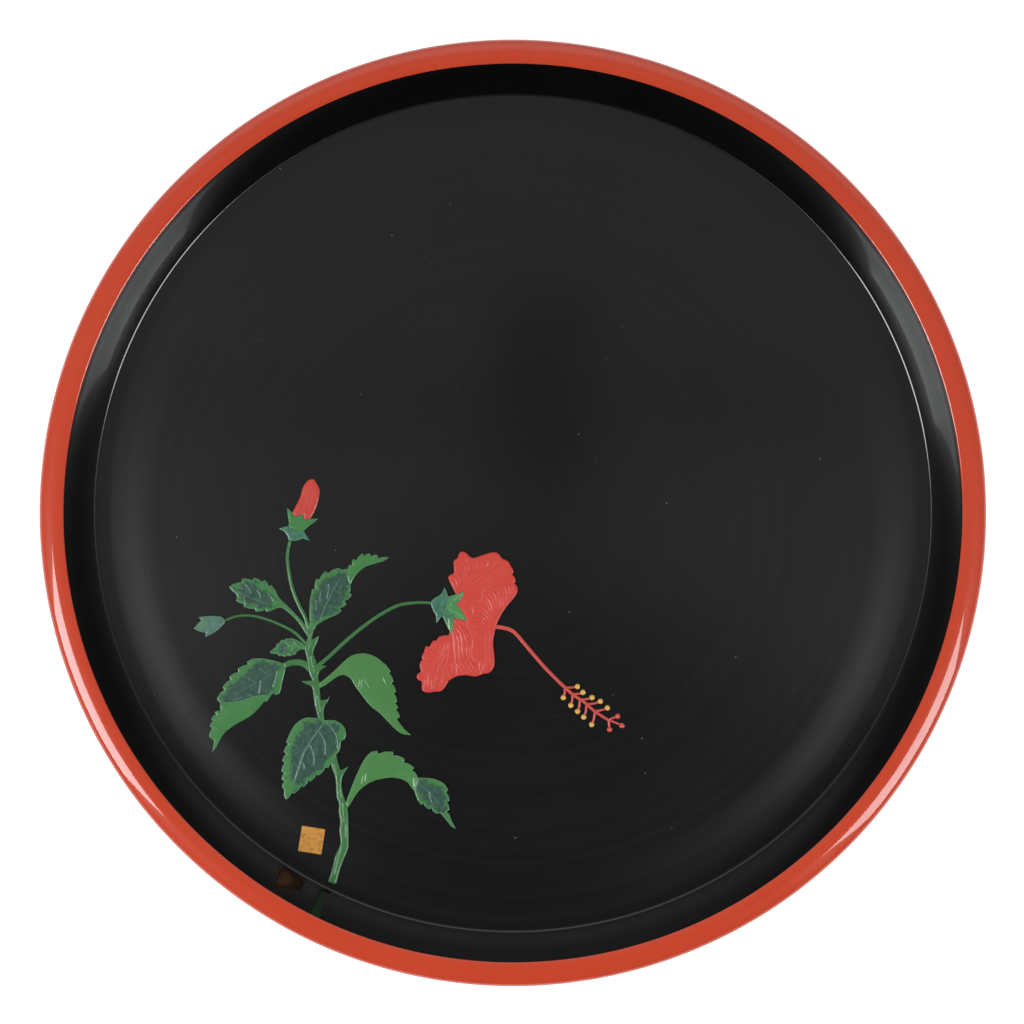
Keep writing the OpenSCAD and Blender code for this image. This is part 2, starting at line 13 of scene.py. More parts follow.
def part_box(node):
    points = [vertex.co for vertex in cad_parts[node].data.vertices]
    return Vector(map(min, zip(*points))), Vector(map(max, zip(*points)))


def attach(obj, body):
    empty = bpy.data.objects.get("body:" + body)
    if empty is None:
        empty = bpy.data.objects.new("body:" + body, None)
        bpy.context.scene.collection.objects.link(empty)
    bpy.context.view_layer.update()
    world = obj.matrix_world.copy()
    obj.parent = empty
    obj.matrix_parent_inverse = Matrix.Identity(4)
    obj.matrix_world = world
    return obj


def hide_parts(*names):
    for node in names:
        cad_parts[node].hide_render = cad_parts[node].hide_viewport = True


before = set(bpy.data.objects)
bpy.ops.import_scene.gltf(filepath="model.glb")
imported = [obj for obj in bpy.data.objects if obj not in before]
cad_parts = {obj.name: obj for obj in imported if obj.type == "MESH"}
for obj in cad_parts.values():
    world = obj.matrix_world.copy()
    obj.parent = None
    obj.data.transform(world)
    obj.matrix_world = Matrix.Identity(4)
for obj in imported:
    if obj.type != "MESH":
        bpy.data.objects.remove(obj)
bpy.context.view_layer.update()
scene = bpy.context.scene

MM = 0.001
ROOT = "root"


# ---- sizes, in millimetres, from the frame

def side(node, corner, axis):
    """One coordinate of a CAD node's box, in millimetres."""
    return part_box(node)[corner][axis] / MM


OUTER_R = side("outside_lacquer", 1, 0)
HEIGHT = side("outside_lacquer", 1, 2)
FLOOR_Z = side("stem_lower", 0, 2)
COAT = HEIGHT - side("wood_core", 1, 2)
FOOT_R = side("underside_lacquer", 1, 0)

# The tray's section, as it is turned. Slopes and turns are in degrees
WALL_FOOT = 54          # slope of the hollow inner wall at its foot
WALL_TOP = 81           # and at its top
WALL_SLOPE = 67         # slope of the outer wall
RIM_W = 5.6             # from the rim's crest out to the edge
RIM_DROP = 3.2          # fall of the rim over that width
EDGE_ROUND = 1.0        # radius where the inner wall meets the rim
CROWN_ROUND = 10.0      # radius of the rim inside its crest
CROWN_TURN = 12         # and how far that arc turns
FLOOR_ROUND = 1.2
LIP_ROUND = 4.0
BOTTOM_ROUND = 8.0
FOOT_H = 2.5
FOOT_W = 6.0
FOOT_ROUND = 1.0
COLOUR_SPLIT = 140      # where on the edge's round black meets red
AROUND = 512            # strips round the tray
CUT = 3.0               # longest stretch of a coat's face, before it sways
CREASE = 50             # corners sharper than this stay sharp


# ---- the three coats of lacquer

def arc(centre, rx, ry, start, end, steps):
    """Points on an ellipse's arc, in degrees."""
    turn = np.radians(np.linspace(start, end, steps + 1))
    return np.column_stack([centre[0] + rx * np.cos(turn), centre[1] + ry * np.sin(turn)])


def wall_r(through, z):
    """Radius of a sloping wall at height z, when it passes through a point."""
    return through[0] - (through[1] - z) / math.tan(math.radians(WALL_SLOPE))


def cos(degrees):
    return math.cos(math.radians(degrees))


def sin(degrees):
    return math.sin(math.radians(degrees))


def on_arc(centre, radius, degrees):
    return centre[0] + radius * cos(degrees), centre[1] + radius * sin(degrees)


def by_degrees(radius, azimuth, height):
    """A place given by its distance from the tray's axis, its azimuth and its height."""
    return Vector((radius * cos(azimuth), radius * sin(azimuth), height))


LEAN = 90 - WALL_SLOPE
CREST_R = OUTER_R - RIM_W
FOOT_IN = FOOT_R - FOOT_W
CROWN_C = (CREST_R, HEIGHT - CROWN_ROUND)
EDGE_C = on_arc(CROWN_C, CROWN_ROUND - EDGE_ROUND, 90 + CROWN_TURN)
WALL_END = on_arc(EDGE_C, EDGE_ROUND, 90 + WALL_TOP)
WALL_START_Z = FLOOR_Z + FLOOR_ROUND * (1 - cos(WALL_FOOT))
WALL_ROUND = (WALL_END[1] - WALL_START_Z) / (cos(WALL_FOOT) - cos(WALL_TOP))
WALL_C = on_arc(WALL_END, -WALL_ROUND, WALL_TOP - 90)
FLOOR_C = (WALL_C[0] + (WALL_ROUND - FLOOR_ROUND) * sin(WALL_FOOT), FLOOR_Z + FLOOR_ROUND)
LIP_C = (OUTER_R - LIP_ROUND, HEIGHT - RIM_DROP)
BOTTOM_C = (
    wall_r(on_arc(LIP_C, LIP_ROUND, -LEAN), FOOT_H + BOTTOM_ROUND * (1 - sin(LEAN)))
    - BOTTOM_ROUND * cos(LEAN),
    FOOT_H + BOTTOM_ROUND,
)


def inside_line(d):
    """The black face in section, d below the lacquer, from the centre out to the rim."""
    return np.vstack([
        [(0, FLOOR_Z - d)],
        arc(FLOOR_C, FLOOR_ROUND + d, FLOOR_ROUND + d, -90, WALL_FOOT - 90, 14),
        arc(WALL_C, WALL_ROUND + d, WALL_ROUND + d, WALL_FOOT - 90, WALL_TOP - 90, 16)[1:],
        arc(EDGE_C, EDGE_ROUND - d, EDGE_ROUND - d, 90 + WALL_TOP, COLOUR_SPLIT, 6)[1:],
    ])


def outside_line(d):
    """The red face in section, from the rim's inner edge round to the foot ring."""
    return np.vstack([
        arc(EDGE_C, EDGE_ROUND - d, EDGE_ROUND - d, COLOUR_SPLIT, 90 + CROWN_TURN, 6),
        arc(CROWN_C, CROWN_ROUND - d, CROWN_ROUND - d, 90 + CROWN_TURN, 90, 6)[1:],
        arc((CREST_R, HEIGHT - RIM_DROP), RIM_W - d, RIM_DROP - d, 90, 0, 40)[1:],
        arc(LIP_C, LIP_ROUND - d, LIP_ROUND - d, 0, -LEAN, 8)[1:],
        arc(BOTTOM_C, BOTTOM_ROUND - d, BOTTOM_ROUND - d, -LEAN, -90, 18),
        [(FOOT_R - d, FOOT_H + d)],
    ])


def underside_line(d):
    """The foot ring and the recess inside it, in to the centre."""
    round_d = FOOT_ROUND - d
    return np.vstack([
        [(FOOT_R - d, FOOT_H + d)],
        arc((FOOT_R - FOOT_ROUND, FOOT_ROUND), round_d, round_d, 0, -90, 8),
        arc((FOOT_IN + FOOT_ROUND, FOOT_ROUND), round_d, round_d, -90, -180, 8),
        [(FOOT_IN + d, FOOT_H + d), (0, FOOT_H + d)],
    ])


def refine(line, step):
    """The same line with no stretch longer than step."""
    points = [line[0]]
    for a, b in zip(line[:-1], line[1:]):
        count = max(1, math.ceil(np.linalg.norm(b - a) / step))
        points += [a + (b - a) * i / count for i in range(1, count + 1)]
    return np.array(points)


def lathe(name, face, back):
    """A closed shell turned about Z from its face line and its back line, in millimetres."""
    section = np.vstack([face, back[::-1]])
    bm = bmesh.new()
    rings = []
    for r, z in section:
        if r < 1e-6:
            rings.append([bm.verts.new((0, 0, z))] * AROUND)
            continue
        rings.append([bm.verts.new(by_degrees(r, 360 * i / AROUND, z)) for i in range(AROUND)])
    for low, high in zip(rings, rings[1:] + rings[:1]):
        if low[0] is low[1] and high[0] is high[1]:
            continue
        for i in range(AROUND):
            j = (i + 1) % AROUND
            corners = list(dict.fromkeys([low[i], low[j], high[j], high[i]]))
            bm.faces.new(corners)
    bmesh.ops.recalc_face_normals(bm, faces=bm.faces)
    return mesh_object(name, bm)


def placed(name, data):
    """An object in the scene, made of a mesh, a lamp or a camera."""
    made = bpy.data.objects.new(name, data)
    scene.collection.objects.link(made)
    return made


def mesh_object(name, bm):
    """The finished piece: its mesh in metres, smooth but for its sharp corners."""
    bmesh.ops.scale(bm, vec=(MM, MM, MM), verts=bm.verts)
    mesh = bpy.data.meshes.new(name)
    bm.to_mesh(mesh)
    bm.free()
    mesh.shade_smooth()
    mesh.set_sharp_from_angle(angle=math.radians(CREASE))
    return placed(name, mesh)


def sway(piece, height, length):
    """Moves a coat's faces by a slow wave, as hand-brushed lacquer lies. The foot stays true."""
    vertices = piece.data.vertices
    places = [v.co.copy() for v in vertices]
    normals = [v.normal.copy() for v in vertices]
    for vertex, place, normal in zip(vertices, places, normals):
        spot = place / (length * MM)
        wave = noise.noise(spot) + 0.35 * noise.noise(spot * 3.1)
        keep = min(1.0, max(0.0, place.z / MM / FOOT_H - 1))
        vertex.co = place + normal * (wave * height * MM * keep)


# ---- materials

def add(tree, kind, inputs=None, **settings):
    """A shader node. settings are its properties, and inputs its sockets' values or links."""
    made = tree.nodes.new("ShaderNode" + kind)
    for key, value in settings.items():
        setattr(made, key, value)
    for key, value in (inputs or {}).items():
        if isinstance(value, bpy.types.NodeSocket):
            tree.links.new(value, made.inputs[key])
        else:
            made.inputs[key].default_value = value
    return made


LIT = 0.73              # a surface's colour, as a share of what it shows in this light


def srgb(r, g, b):
    """A surface's colour, from the 0-255 display values that it shows in the studio's light."""
    return tuple(
        LIT * ((c / 255 / 12.92) if c <= 10 else ((c / 255 + 0.055) / 1.055) ** 2.4)
        for c in (r, g, b)
    ) + (1.0,)


class Patterns:
    """Short calls that add patterns and sums to one node tree."""

    def __init__(self, tree, coordinates):
        self.tree = tree
        self.place = add(tree, "TexCoord").outputs[coordinates]

    def stretch(self, x, y, z):
        """The place with each axis scaled, for grain and brush marks."""
        scaled = add(self.tree, "Mapping", {"Vector": self.place, "Scale": (x, y, z)})
        return scaled.outputs["Vector"]

    def radius(self):
        """Distance from the tray's axis, in metres."""
        flat = add(self.tree, "VectorMath", {0: self.place, 1: (1, 1, 0)}, operation="MULTIPLY")
        length = add(self.tree, "VectorMath", {0: flat.outputs[0]}, operation="LENGTH")
        return length.outputs["Value"]

    def rings(self, scale, across):
        """Fine rings about the tray's axis. across varies them round the tray."""
        way = {0: self.times(self.radius(), scale), 1: across, 2: 0.0}
        return self.noise(1.0, 3, 0.6, add(self.tree, "CombineXYZ", way).outputs[0])

    def noise(self, scale, detail=2.0, rough=0.5, place=None, twist=0.0):
        made = add(self.tree, "TexNoise", {
            "Vector": place or self.place, "Scale": scale, "Detail": detail,
            "Roughness": rough, "Distortion": twist,
        })
        return made.outputs["Fac"]

    def spots(self, scale):
        """Distance to the nearest of many scattered points."""
        made = add(self.tree, "TexVoronoi", {"Vector": self.place, "Scale": scale})
        return made.outputs["Distance"]

    def spread(self, value, low, high, to_low=0.0, to_high=1.0):
        """A soft step from to_low, where value is low, to to_high, where it is high."""
        made = add(self.tree, "MapRange", {
            "Value": value, "From Min": low, "From Max": high, "To Min": to_low, "To Max": to_high,
        }, interpolation_type="SMOOTHSTEP")
        return made.outputs["Result"]

    def math(self, operation, a, b):
        return add(self.tree, "Math", {0: a, 1: b}, operation=operation).outputs[0]

    def attribute(self, name):
        return add(self.tree, "Attribute", attribute_name=name).outputs["Fac"]

    def times(self, a, b):
        return self.math("MULTIPLY", a, b)

    def mix(self, factor, a, b):
        """Colour a where factor is 0, and b where it is 1."""
        made = self.tree.nodes.new("ShaderNodeMix")
        made.data_type = "RGBA"
        for index, value in ((0, factor), (6, a), (7, b)):
            if isinstance(value, bpy.types.NodeSocket):
                self.tree.links.new(value, made.inputs[index])
            else:
                made.inputs[index].default_value = value
        return made.outputs[2]


class Finish(Patterns):
    """One material: a Principled shader and the patterns that drive it."""

    def __init__(self, name, **sockets):
        self.material = bpy.data.materials.new(name)
        self.material.use_nodes = True
        super().__init__(self.material.node_tree, "Object")
        self.shader = self.tree.nodes["Principled BSDF"]
        for key, value in sockets.items():
            label = key.replace("_", " ").title().replace("Ior", "IOR")
            self.shader.inputs[label].default_value = value

    def drive(self, socket, source):
        self.tree.links.new(source, self.shader.inputs[socket])

    def bump(self, height, distance, normal=None):
        """Bumps of the pattern height, distance millimetres high, on top of another bump."""
        inputs = {"Height": height, "Distance": distance * MM}
        if normal:
            inputs["Normal"] = normal
        made = add(self.tree, "Bump", inputs)
        self.drive("Normal", made.outputs["Normal"])
        return made.outputs["Normal"]


def black_floor():
    """Satin black: rubbed in circles, with faint scuffs and a few pale specks of dust. It falls
    slightly before its corner, then rises a little."""
    f = Finish("black_lacquer_floor", roughness=0.4, specular_ior_level=0.45, coat_weight=0.9,
               coat_roughness=0.08)
    arcs = f.rings(700.0, f.noise(6.0, 1))
    cloud = f.noise(22.0, 4, 0.6)
    scuff = f.spread(f.noise(60.0, 6, 0.75, f.stretch(1, 4, 1), 0.6), 0.66, 0.76)
    speck = f.spread(f.spots(110.0), 0.045, 0.02)
    rare = f.spread(f.noise(35.0, 1), 0.49, 0.56)
    speck = f.times(speck, rare)
    base = f.mix(cloud, srgb(5, 5, 6), srgb(8, 8, 9))
    base = f.mix(f.times(scuff, 0.08), base, srgb(80, 82, 84))
    base = f.mix(f.times(speck, 0.45), base, srgb(120, 120, 116))
    f.drive("Base Color", base)
    rough = f.math("ADD", f.spread(arcs, 0.3, 0.7, 0.25, 0.275), f.times(cloud, 0.05))
    f.drive("Roughness", f.math("ADD", rough, f.times(scuff, 0.06)))
    radius = f.radius()
    fall = f.spread(radius, 117 * MM, 132 * MM, 0.0, -1.0)
    rise = f.spread(radius, 131 * MM, 135 * MM, 0.0, 0.3)
    dish = f.bump(f.math("ADD", fall, rise), 0.6)
    f.bump(f.noise(120.0, 3), 0.006, dish)
    return f.material


def black_wall():
    """Gloss black on the wall, with a slight brushed wave."""
    f = Finish("black_lacquer_wall", roughness=0.2, specular_ior_level=0.15, coat_weight=0.72,
               coat_roughness=0.05)
    cloud = f.noise(40.0, 4, 0.6)
    f.drive("Base Color", f.mix(cloud, srgb(7, 7, 7), srgb(12, 12, 12)))
    f.drive("Roughness", f.spread(f.noise(90.0, 3, 0.6), 0.3, 0.7, 0.18, 0.28))
    f.bump(f.noise(60.0, 3), 0.01)
    return f.material


def vermilion():
    """Gloss vermilion, with a faint orange peel and cloudy pigment."""
    f = Finish("vermilion_lacquer", roughness=0.3, specular_ior_level=0.12, coat_weight=0.8,
               coat_roughness=0.035)
    cloud = f.noise(30.0, 4, 0.6)
    base = f.mix(cloud, srgb(207, 69, 43), srgb(214, 76, 48))
    speck = f.spread(f.spots(190.0), 0.09, 0.03)
    rare = f.spread(f.noise(60.0, 1), 0.56, 0.62)
    base = f.mix(f.times(f.times(speck, rare), 0.4), base, srgb(120, 30, 20))
    f.drive("Base Color", base)
    f.drive("Roughness", f.spread(f.noise(70.0, 4, 0.6), 0.3, 0.7, 0.24, 0.34))
    f.bump(f.noise(220.0, 2), 0.012)
    return f.material


def underside_red():
    """The underside's vermilion, turned in fine rings, with the foot's face rubbed dull."""
    f = Finish("vermilion_lacquer_underside", roughness=0.35, coat_weight=0.4, coat_roughness=0.12)
    height = add(f.tree, "SeparateXYZ", {0: f.place}).outputs["Z"]
    worn = f.spread(height, 0.6 * MM, 0.1 * MM)
    worn = f.times(worn, f.spread(f.noise(90.0, 5, 0.7), 0.35, 0.65))
    rings = f.rings(1200.0, 0.0)
    base = f.mix(f.noise(25.0, 4, 0.6), srgb(200, 62, 38), srgb(208, 70, 45))
    base = f.mix(worn, base, srgb(128, 44, 30))
    f.drive("Base Color", base)
    rough = f.spread(rings, 0.3, 0.7, 0.3, 0.4)
    f.drive("Roughness", f.math("ADD", rough, f.times(worn, 0.3)))
    f.bump(f.math("ADD", rings, f.noise(200.0, 2)), 0.01)
    return f.material


def turned_wood():
    """Pale turned hardwood: grain in long streaks across the disc, with fine pores."""
    f = Finish("core_wood", roughness=0.6)
    grain = f.noise(14.0, 6, 0.6, f.stretch(1, 12, 12), 0.8)
    pores = f.spread(f.noise(60.0, 3, 0.7, f.stretch(1, 30, 30)), 0.55, 0.7)
    base = f.mix(grain, srgb(186, 148, 100), srgb(214, 182, 136))
    f.drive("Base Color", f.mix(f.times(pores, 0.5), base, srgb(130, 94, 58)))
    f.drive("Roughness", f.spread(grain, 0.3, 0.7, 0.5, 0.7))
    f.bump(f.math("SUBTRACT", grain, pores), 0.05)
    return f.material


def shade(colour, by):
    """A colour made darker or lighter."""
    return tuple(c * by for c in colour[:3]) + (1.0,)


def putty(name, main, second=None, vein_highlight=None, edge=None, mottle=0.5, gloss=0.36, coat=0.5):
    """Lacquer putty. second is its colour where tone is low, vein_highlight that of the painted
    highlight along carved lines, and edge that of the painted glint along the rounded rim."""
    f = Finish(name, specular_ior_level=0.3, coat_weight=coat, coat_roughness=0.12)
    cloud = f.noise(700.0, 4, 0.65)
    blotch = f.noise(190.0, 3, 0.6)
    base = f.mix(f.times(f.spread(blotch, 0.3, 0.7), mottle), main, shade(main, 0.78))
    if second:
        deep = f.mix(f.spread(cloud, 0.35, 0.7), second, shade(second, 1.3))
        patch = f.spread(f.noise(330.0, 3, 0.65, twist=0.8), 0.48, 0.66)
        pale = f.mix(0.45, shade(second, 1.7), second[:2] + (second[2] * 1.6, 1.0))
        deep = f.mix(f.times(patch, 0.75), deep, pale)
        scratch = f.spread(f.noise(160.0, 5, 0.7, f.stretch(9, 2.2, 1)), 0.55, 0.66)
        deep = f.mix(f.times(scratch, 0.55), deep, shade(second, 2.3))
        ragged = f.spread(f.noise(800.0, 4, 0.7), 0.3, 0.7, -0.36, 0.36)
        blend = f.math("ADD", f.attribute("tone"), ragged)
        base = f.mix(f.spread(blend, 0.1, 0.9), deep, base)
    # the carved lines and raised folds take a paler colour: a painted highlight
    if vein_highlight:
        base = f.mix(f.attribute("vein_highlight"), base, vein_highlight)
    # the rounded rim and sides take a paler colour: a painted glint
    if edge:
        base = f.mix(f.attribute("edge"), base, edge)
    f.drive("Base Color", base)
    f.drive("Roughness", f.spread(cloud, 0.3, 0.7, gloss - 0.06, gloss + 0.08))
    f.bump(f.math("ADD", cloud, f.times(blotch, 0.6)), 0.03)
    return f.material


def worn_ochre():
    """Ochre putty, brushed across and worn brown in streaks and pits. Its edge is darkened
    with painted shade.
    """
    f = Finish("ochre_putty", specular_ior_level=0.3, coat_weight=0.15, coat_roughness=0.3)
    cloud = f.noise(260.0, 4, 0.65)
    streak = f.noise(240.0, 5, 0.7, f.stretch(1, 5, 1), 0.7)
    pit = f.noise(900.0, 3, 0.6)
    base = f.mix(cloud, srgb(222, 158, 72), srgb(208, 140, 54))
    base = f.mix(f.times(f.spread(streak, 0.5, 0.62), 0.6), base, srgb(160, 104, 46))
    base = f.mix(f.times(f.spread(pit, 0.54, 0.64), 0.5), base, srgb(140, 88, 40))
    # a darker band along the raised plate's edge: painted shade
    base = f.mix(f.times(f.attribute("edge"), 0.6), base, srgb(170, 112, 46))
    f.drive("Base Color", base)
    f.drive("Roughness", f.spread(cloud, 0.3, 0.7, 0.45, 0.6))
    f.bump(f.math("SUBTRACT", cloud, f.times(streak, 0.8)), 0.05)
    return f.material


# ---- plates of putty, in millimetres

# tone picks the main colour; vein_highlight is the painted highlight along carved lines, and edge
# the painted glint along the outline (painted shade on the seal)
LAYERS = ("tone", "vein_highlight", "edge")   # what a plate tells its material at each point, from 0 to 1
STEP = 0.16             # distance between the points of a plate's outline
GRID = 0.17             # and between those of its face
LINE_STEP = 0.13        # and along a carved line
CURVE_STEP = 0.25       # and along the curve that it follows
INSETS = (0.06, 0.14, 0.24, 0.36)   # how far in the rows lie that follow the outline
CLOSEST = 0.045         # least distance between two points of a face
OVERLAP = 0.07          # how far a piece runs over its CAD outline, to meet the next
SUNK = 0.05             # depth of a plate's back in its bed of lacquer
DOME_W = 1.6            # how far in from the outline a plate's dome rises
PAINTED_EDGE_W = 0.3            # width of the painted glint along an outline, painted shade on the seal
SEAM_W = 0.8            # how far a seam changes the rounding of the edges beside it
SEAM_GAP = 0.35         # an outline nearer to a neighbour than this shows no margin
SLOW = 2.6              # length of the waves in a plate's face
QUICK = 1.5             # and in the width of its margin
BLUR = 2.1              # how softly the main colour ends
BEAD_AROUND = 28        # strips round a bead
FULL_VEIN_HIGHLIGHT = 0.2         # depth at which a carved line takes its full painted highlight
BATCH = 3000            # how many points are measured at a time


def outlines(node):
    """The closed outlines of a CAD plate's top face, counter-clockwise. Edges are taken in the
    mesh's own order, so that each run finds the same outlines."""
    bm = bmesh.new()
    bm.from_mesh(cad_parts[node].data)
    bmesh.ops.remove_doubles(bm, verts=bm.verts, dist=0.002 * MM)
    top = side(node, 1, 2) * MM
    upper = {
        f for f in bm.faces
        if f.normal.z > 0.9 and abs(f.calc_center_median().z - top) < 0.01 * MM
    }
    rim = dict.fromkeys(e for e in bm.edges if sum(f in upper for f in e.link_faces) == 1)
    loops = []
    while rim:
        edge = rim.popitem()[0]
        chain = [edge.verts[0], edge.verts[1]]
        while True:
            following = next((e for e in chain[-1].link_edges if e in rim), None)
            if following is None:
                break
            del rim[following]
            chain.append(following.other_vert(chain[-1]))
        loop = np.array([v.co.xy for v in chain[:-1]]) / MM
        x, y = loop.T
        area = np.sum(x * np.roll(y, -1) - np.roll(x, -1) * y)
        loops.append(loop if area > 0 else loop[::-1])
    bm.free()
    return loops


def closed(loop):
    """A loop as a line that ends where it began."""
    return np.vstack([loop, loop[:1]])


def even(line, step, least, to_end=True):
    """Points spaced evenly along a line, and at least so many."""
    run = np.concatenate([[0], np.cumsum(np.linalg.norm(np.diff(line, axis=0), axis=1))])
    at = np.linspace(0, run[-1], max(least, round(run[-1] / step)), endpoint=to_end)
    return np.column_stack([np.interp(at, run, line[:, k]) for k in (0, 1)])


def soften(loop, passes):
    """Rounds a loop's corners, as putty cut with a knife has them."""
    for _ in range(passes):
        loop = 0.5 * loop + 0.25 * (np.roll(loop, 1, axis=0) + np.roll(loop, -1, axis=0))
    return loop


def rightward(ways):
    """Unit vectors to the right of each way."""
    return np.column_stack([ways[:, 1], -ways[:, 0]]) / np.linalg.norm(ways, axis=1)[:, None]


def spread_out(loop, by):
    """A counter-clockwise loop moved outward."""
    return loop + by * rightward(np.roll(loop, -1, axis=0) - np.roll(loop, 1, axis=0))


def curve(points):
    """A smooth line through points, as a Catmull-Rom spline."""
    p = np.array(points, float)
    p = np.vstack([2 * p[0] - p[1], p, 2 * p[-1] - p[-2]])
    fine = []
    for a, b, c, d in zip(p, p[1:], p[2:], p[3:]):
        steps = max(2, round(np.linalg.norm(c - b) / CURVE_STEP))
        for t in np.linspace(0, 1, steps, endpoint=False):
            fine.append(
                (2 * b + (c - a) * t + (2 * a - 5 * b + 4 * c - d) * t**2
                 + (3 * b - a - 3 * c + d) * t**3) / 2
            )
    return np.array(fine + [p[-2]])


def batches(points):
    return np.array_split(points, max(1, len(points) // BATCH))


def nearest(points, line):
    """Distance from each point to a line, and how far along the line that is, from 0 to 1."""
    a, d = line[:-1], np.diff(line, axis=0)
    length = np.maximum(np.einsum("ij,ij->i", d, d), 1e-12)
    gaps, places = [], []
    for part in batches(points):
        off = part[:, None, :] - a
        t = np.clip(np.einsum("pij,ij->pi", off, d) / length, 0, 1)
        gap = np.linalg.norm(off - t[..., None] * d, axis=2)
        best = gap.argmin(1)
        rows = np.arange(len(part))
        gaps.append(gap[rows, best])
        places.append((best + t[rows, best]) / len(a))
    return np.concatenate(gaps), np.concatenate(places)


def within(points, loop):
    """True for each point inside a closed loop."""
    a, b = loop, np.roll(loop, -1, axis=0)
    rise = np.where(b[:, 1] == a[:, 1], 1e-12, b[:, 1] - a[:, 1])
    found = []
    for part in batches(points):
        x, y = part[:, :1], part[:, 1:]
        level = (a[:, 1] > y) != (b[:, 1] > y)
        crosses = level & (x < (b[:, 0] - a[:, 0]) * (y - a[:, 1]) / rise + a[:, 0])
        found.append(crosses.sum(1) % 2 == 1)
    return np.concatenate(found)


def inside_by(points, loop, gap):
    """The points that lie inside a loop, farther than gap from it."""
    kept = points[within(points, loop)]
    return kept[nearest(kept, closed(loop))[0] > gap]


def sparse(points, gap):
    """The points, less those closer than gap to one before them."""
    taken, kept = {}, []
    for point in points:
        cell = (math.floor(point[0] / gap), math.floor(point[1] / gap))
        around = [
            taken.get((cell[0] + i, cell[1] + j), ()) for i in (-1, 0, 1) for j in (-1, 0, 1)
        ]
        if all(math.dist(point, other) >= gap for group in around for other in group):
            taken.setdefault(cell, []).append(point)
            kept.append(point)
    return np.array(kept).reshape(-1, 2)


def beside(shape, width):
    """Rows of points along a carved line and on both of its flanks."""
    middle = even(curve(shape), LINE_STEP, 3)
    right = rightward(np.gradient(middle, axis=0))
    return np.vstack([middle - k * width * right for k in (0, -0.7, 0.7, -1.5, 1.5)])


def face_points(loop, grid, lines):
    """Points inside a loop: rows that follow its edge and its carved lines, then an even grid."""
    kept = [inside_by(spread_out(loop, -inset), loop, 0.96 * inset) for inset in INSETS]
    kept += [inside_by(beside(shape, width), loop, INSETS[0]) for shape, width, _ in lines]
    low, high = loop.min(0), loop.max(0)
    rows = np.arange(low[1], high[1], grid * math.sqrt(3) / 2)
    spots = [
        (x + (i % 2) * grid / 2, y)
        for i, y in enumerate(rows) for x in np.arange(low[0], high[0], grid)
    ]
    kept.append(inside_by(np.array(spots), loop, INSETS[-1] + 0.45 * grid))
    return sparse(np.vstack(kept), CLOSEST)


def ripple(points, length, seed):
    """Slow noise over the plate's face, about -1 to 1."""
    return np.array([noise.noise(Vector((x / length, y / length, seed))) for x, y in points])


def carved(points, lines):
    """How far carved lines raise each point, and how much of the painted highlight along them it
    takes. The flanks of a line go the other way, and its ends fade."""
    rise, vein_highlight = np.zeros(len(points)), np.zeros(len(points))
    for shape, width, height in lines:
        gap, place = nearest(points, curve(shape))
        fade = np.clip(np.minimum(place, 1 - place) * 6, 0, 1) ** 0.5
        bead = np.exp(-(gap / width) ** 2) * fade
        flanks = np.exp(-((gap - 1.9 * width) / (0.8 * width)) ** 2) * fade
        rise += height * (bead - 0.35 * flanks)
        vein_highlight = np.maximum(vein_highlight, bead * min(1, abs(height) / FULL_VEIN_HIGHLIGHT))
    return rise, vein_highlight


def main_tone(points, outline, margin, seams, bright, seed):
    """How much of the main colour each point takes: near the open edge and near bright lines."""
    tone = np.zeros(len(points))
    if margin is not None:
        for seam in seams:
            outline = outline[nearest(outline, closed(seam))[0] > SEAM_GAP]
        gap = np.min([np.linalg.norm(points - p, axis=1) for p in outline[::2]], axis=0)
        width = margin * (1 + 0.6 * ripple(points, QUICK, seed + 9.1))
        tone = np.clip((width - gap) / BLUR + 0.5, 0, 1)
    for shape, width in bright:
        gap = nearest(points, curve(shape))[0]
        tone = np.maximum(tone, np.clip((width - gap) / BLUR + 0.5, 0, 1))
    return tone


def fill(bm, verts, places, count):
    """Triangles between points whose first ones, so many, are their outline."""
    ring = [(i, (i + 1) % count) for i in range(count)]
    found = geometry.delaunay_2d_cdt([Vector(p) for p in places], ring, [], 1, 1e-6)
    origin = [o[0] if o else None for o in found[3]]
    for face in found[2]:
        corners = [origin[i] for i in face]
        if None not in corners and len(set(corners)) == 3:
            bm.faces.new([verts[i] for i in corners])
    return ring


def relief_mesh():
    """An empty mesh with the layers of a relief piece."""
    bm = bmesh.new()
    for name in LAYERS:
        bm.verts.layers.float.new(name)
    return bm


def relief(node, bm):
    """The finished relief piece for a node."""
    bmesh.ops.recalc_face_normals(bm, faces=bm.faces)
    return mesh_object(node + "_relief", bm)


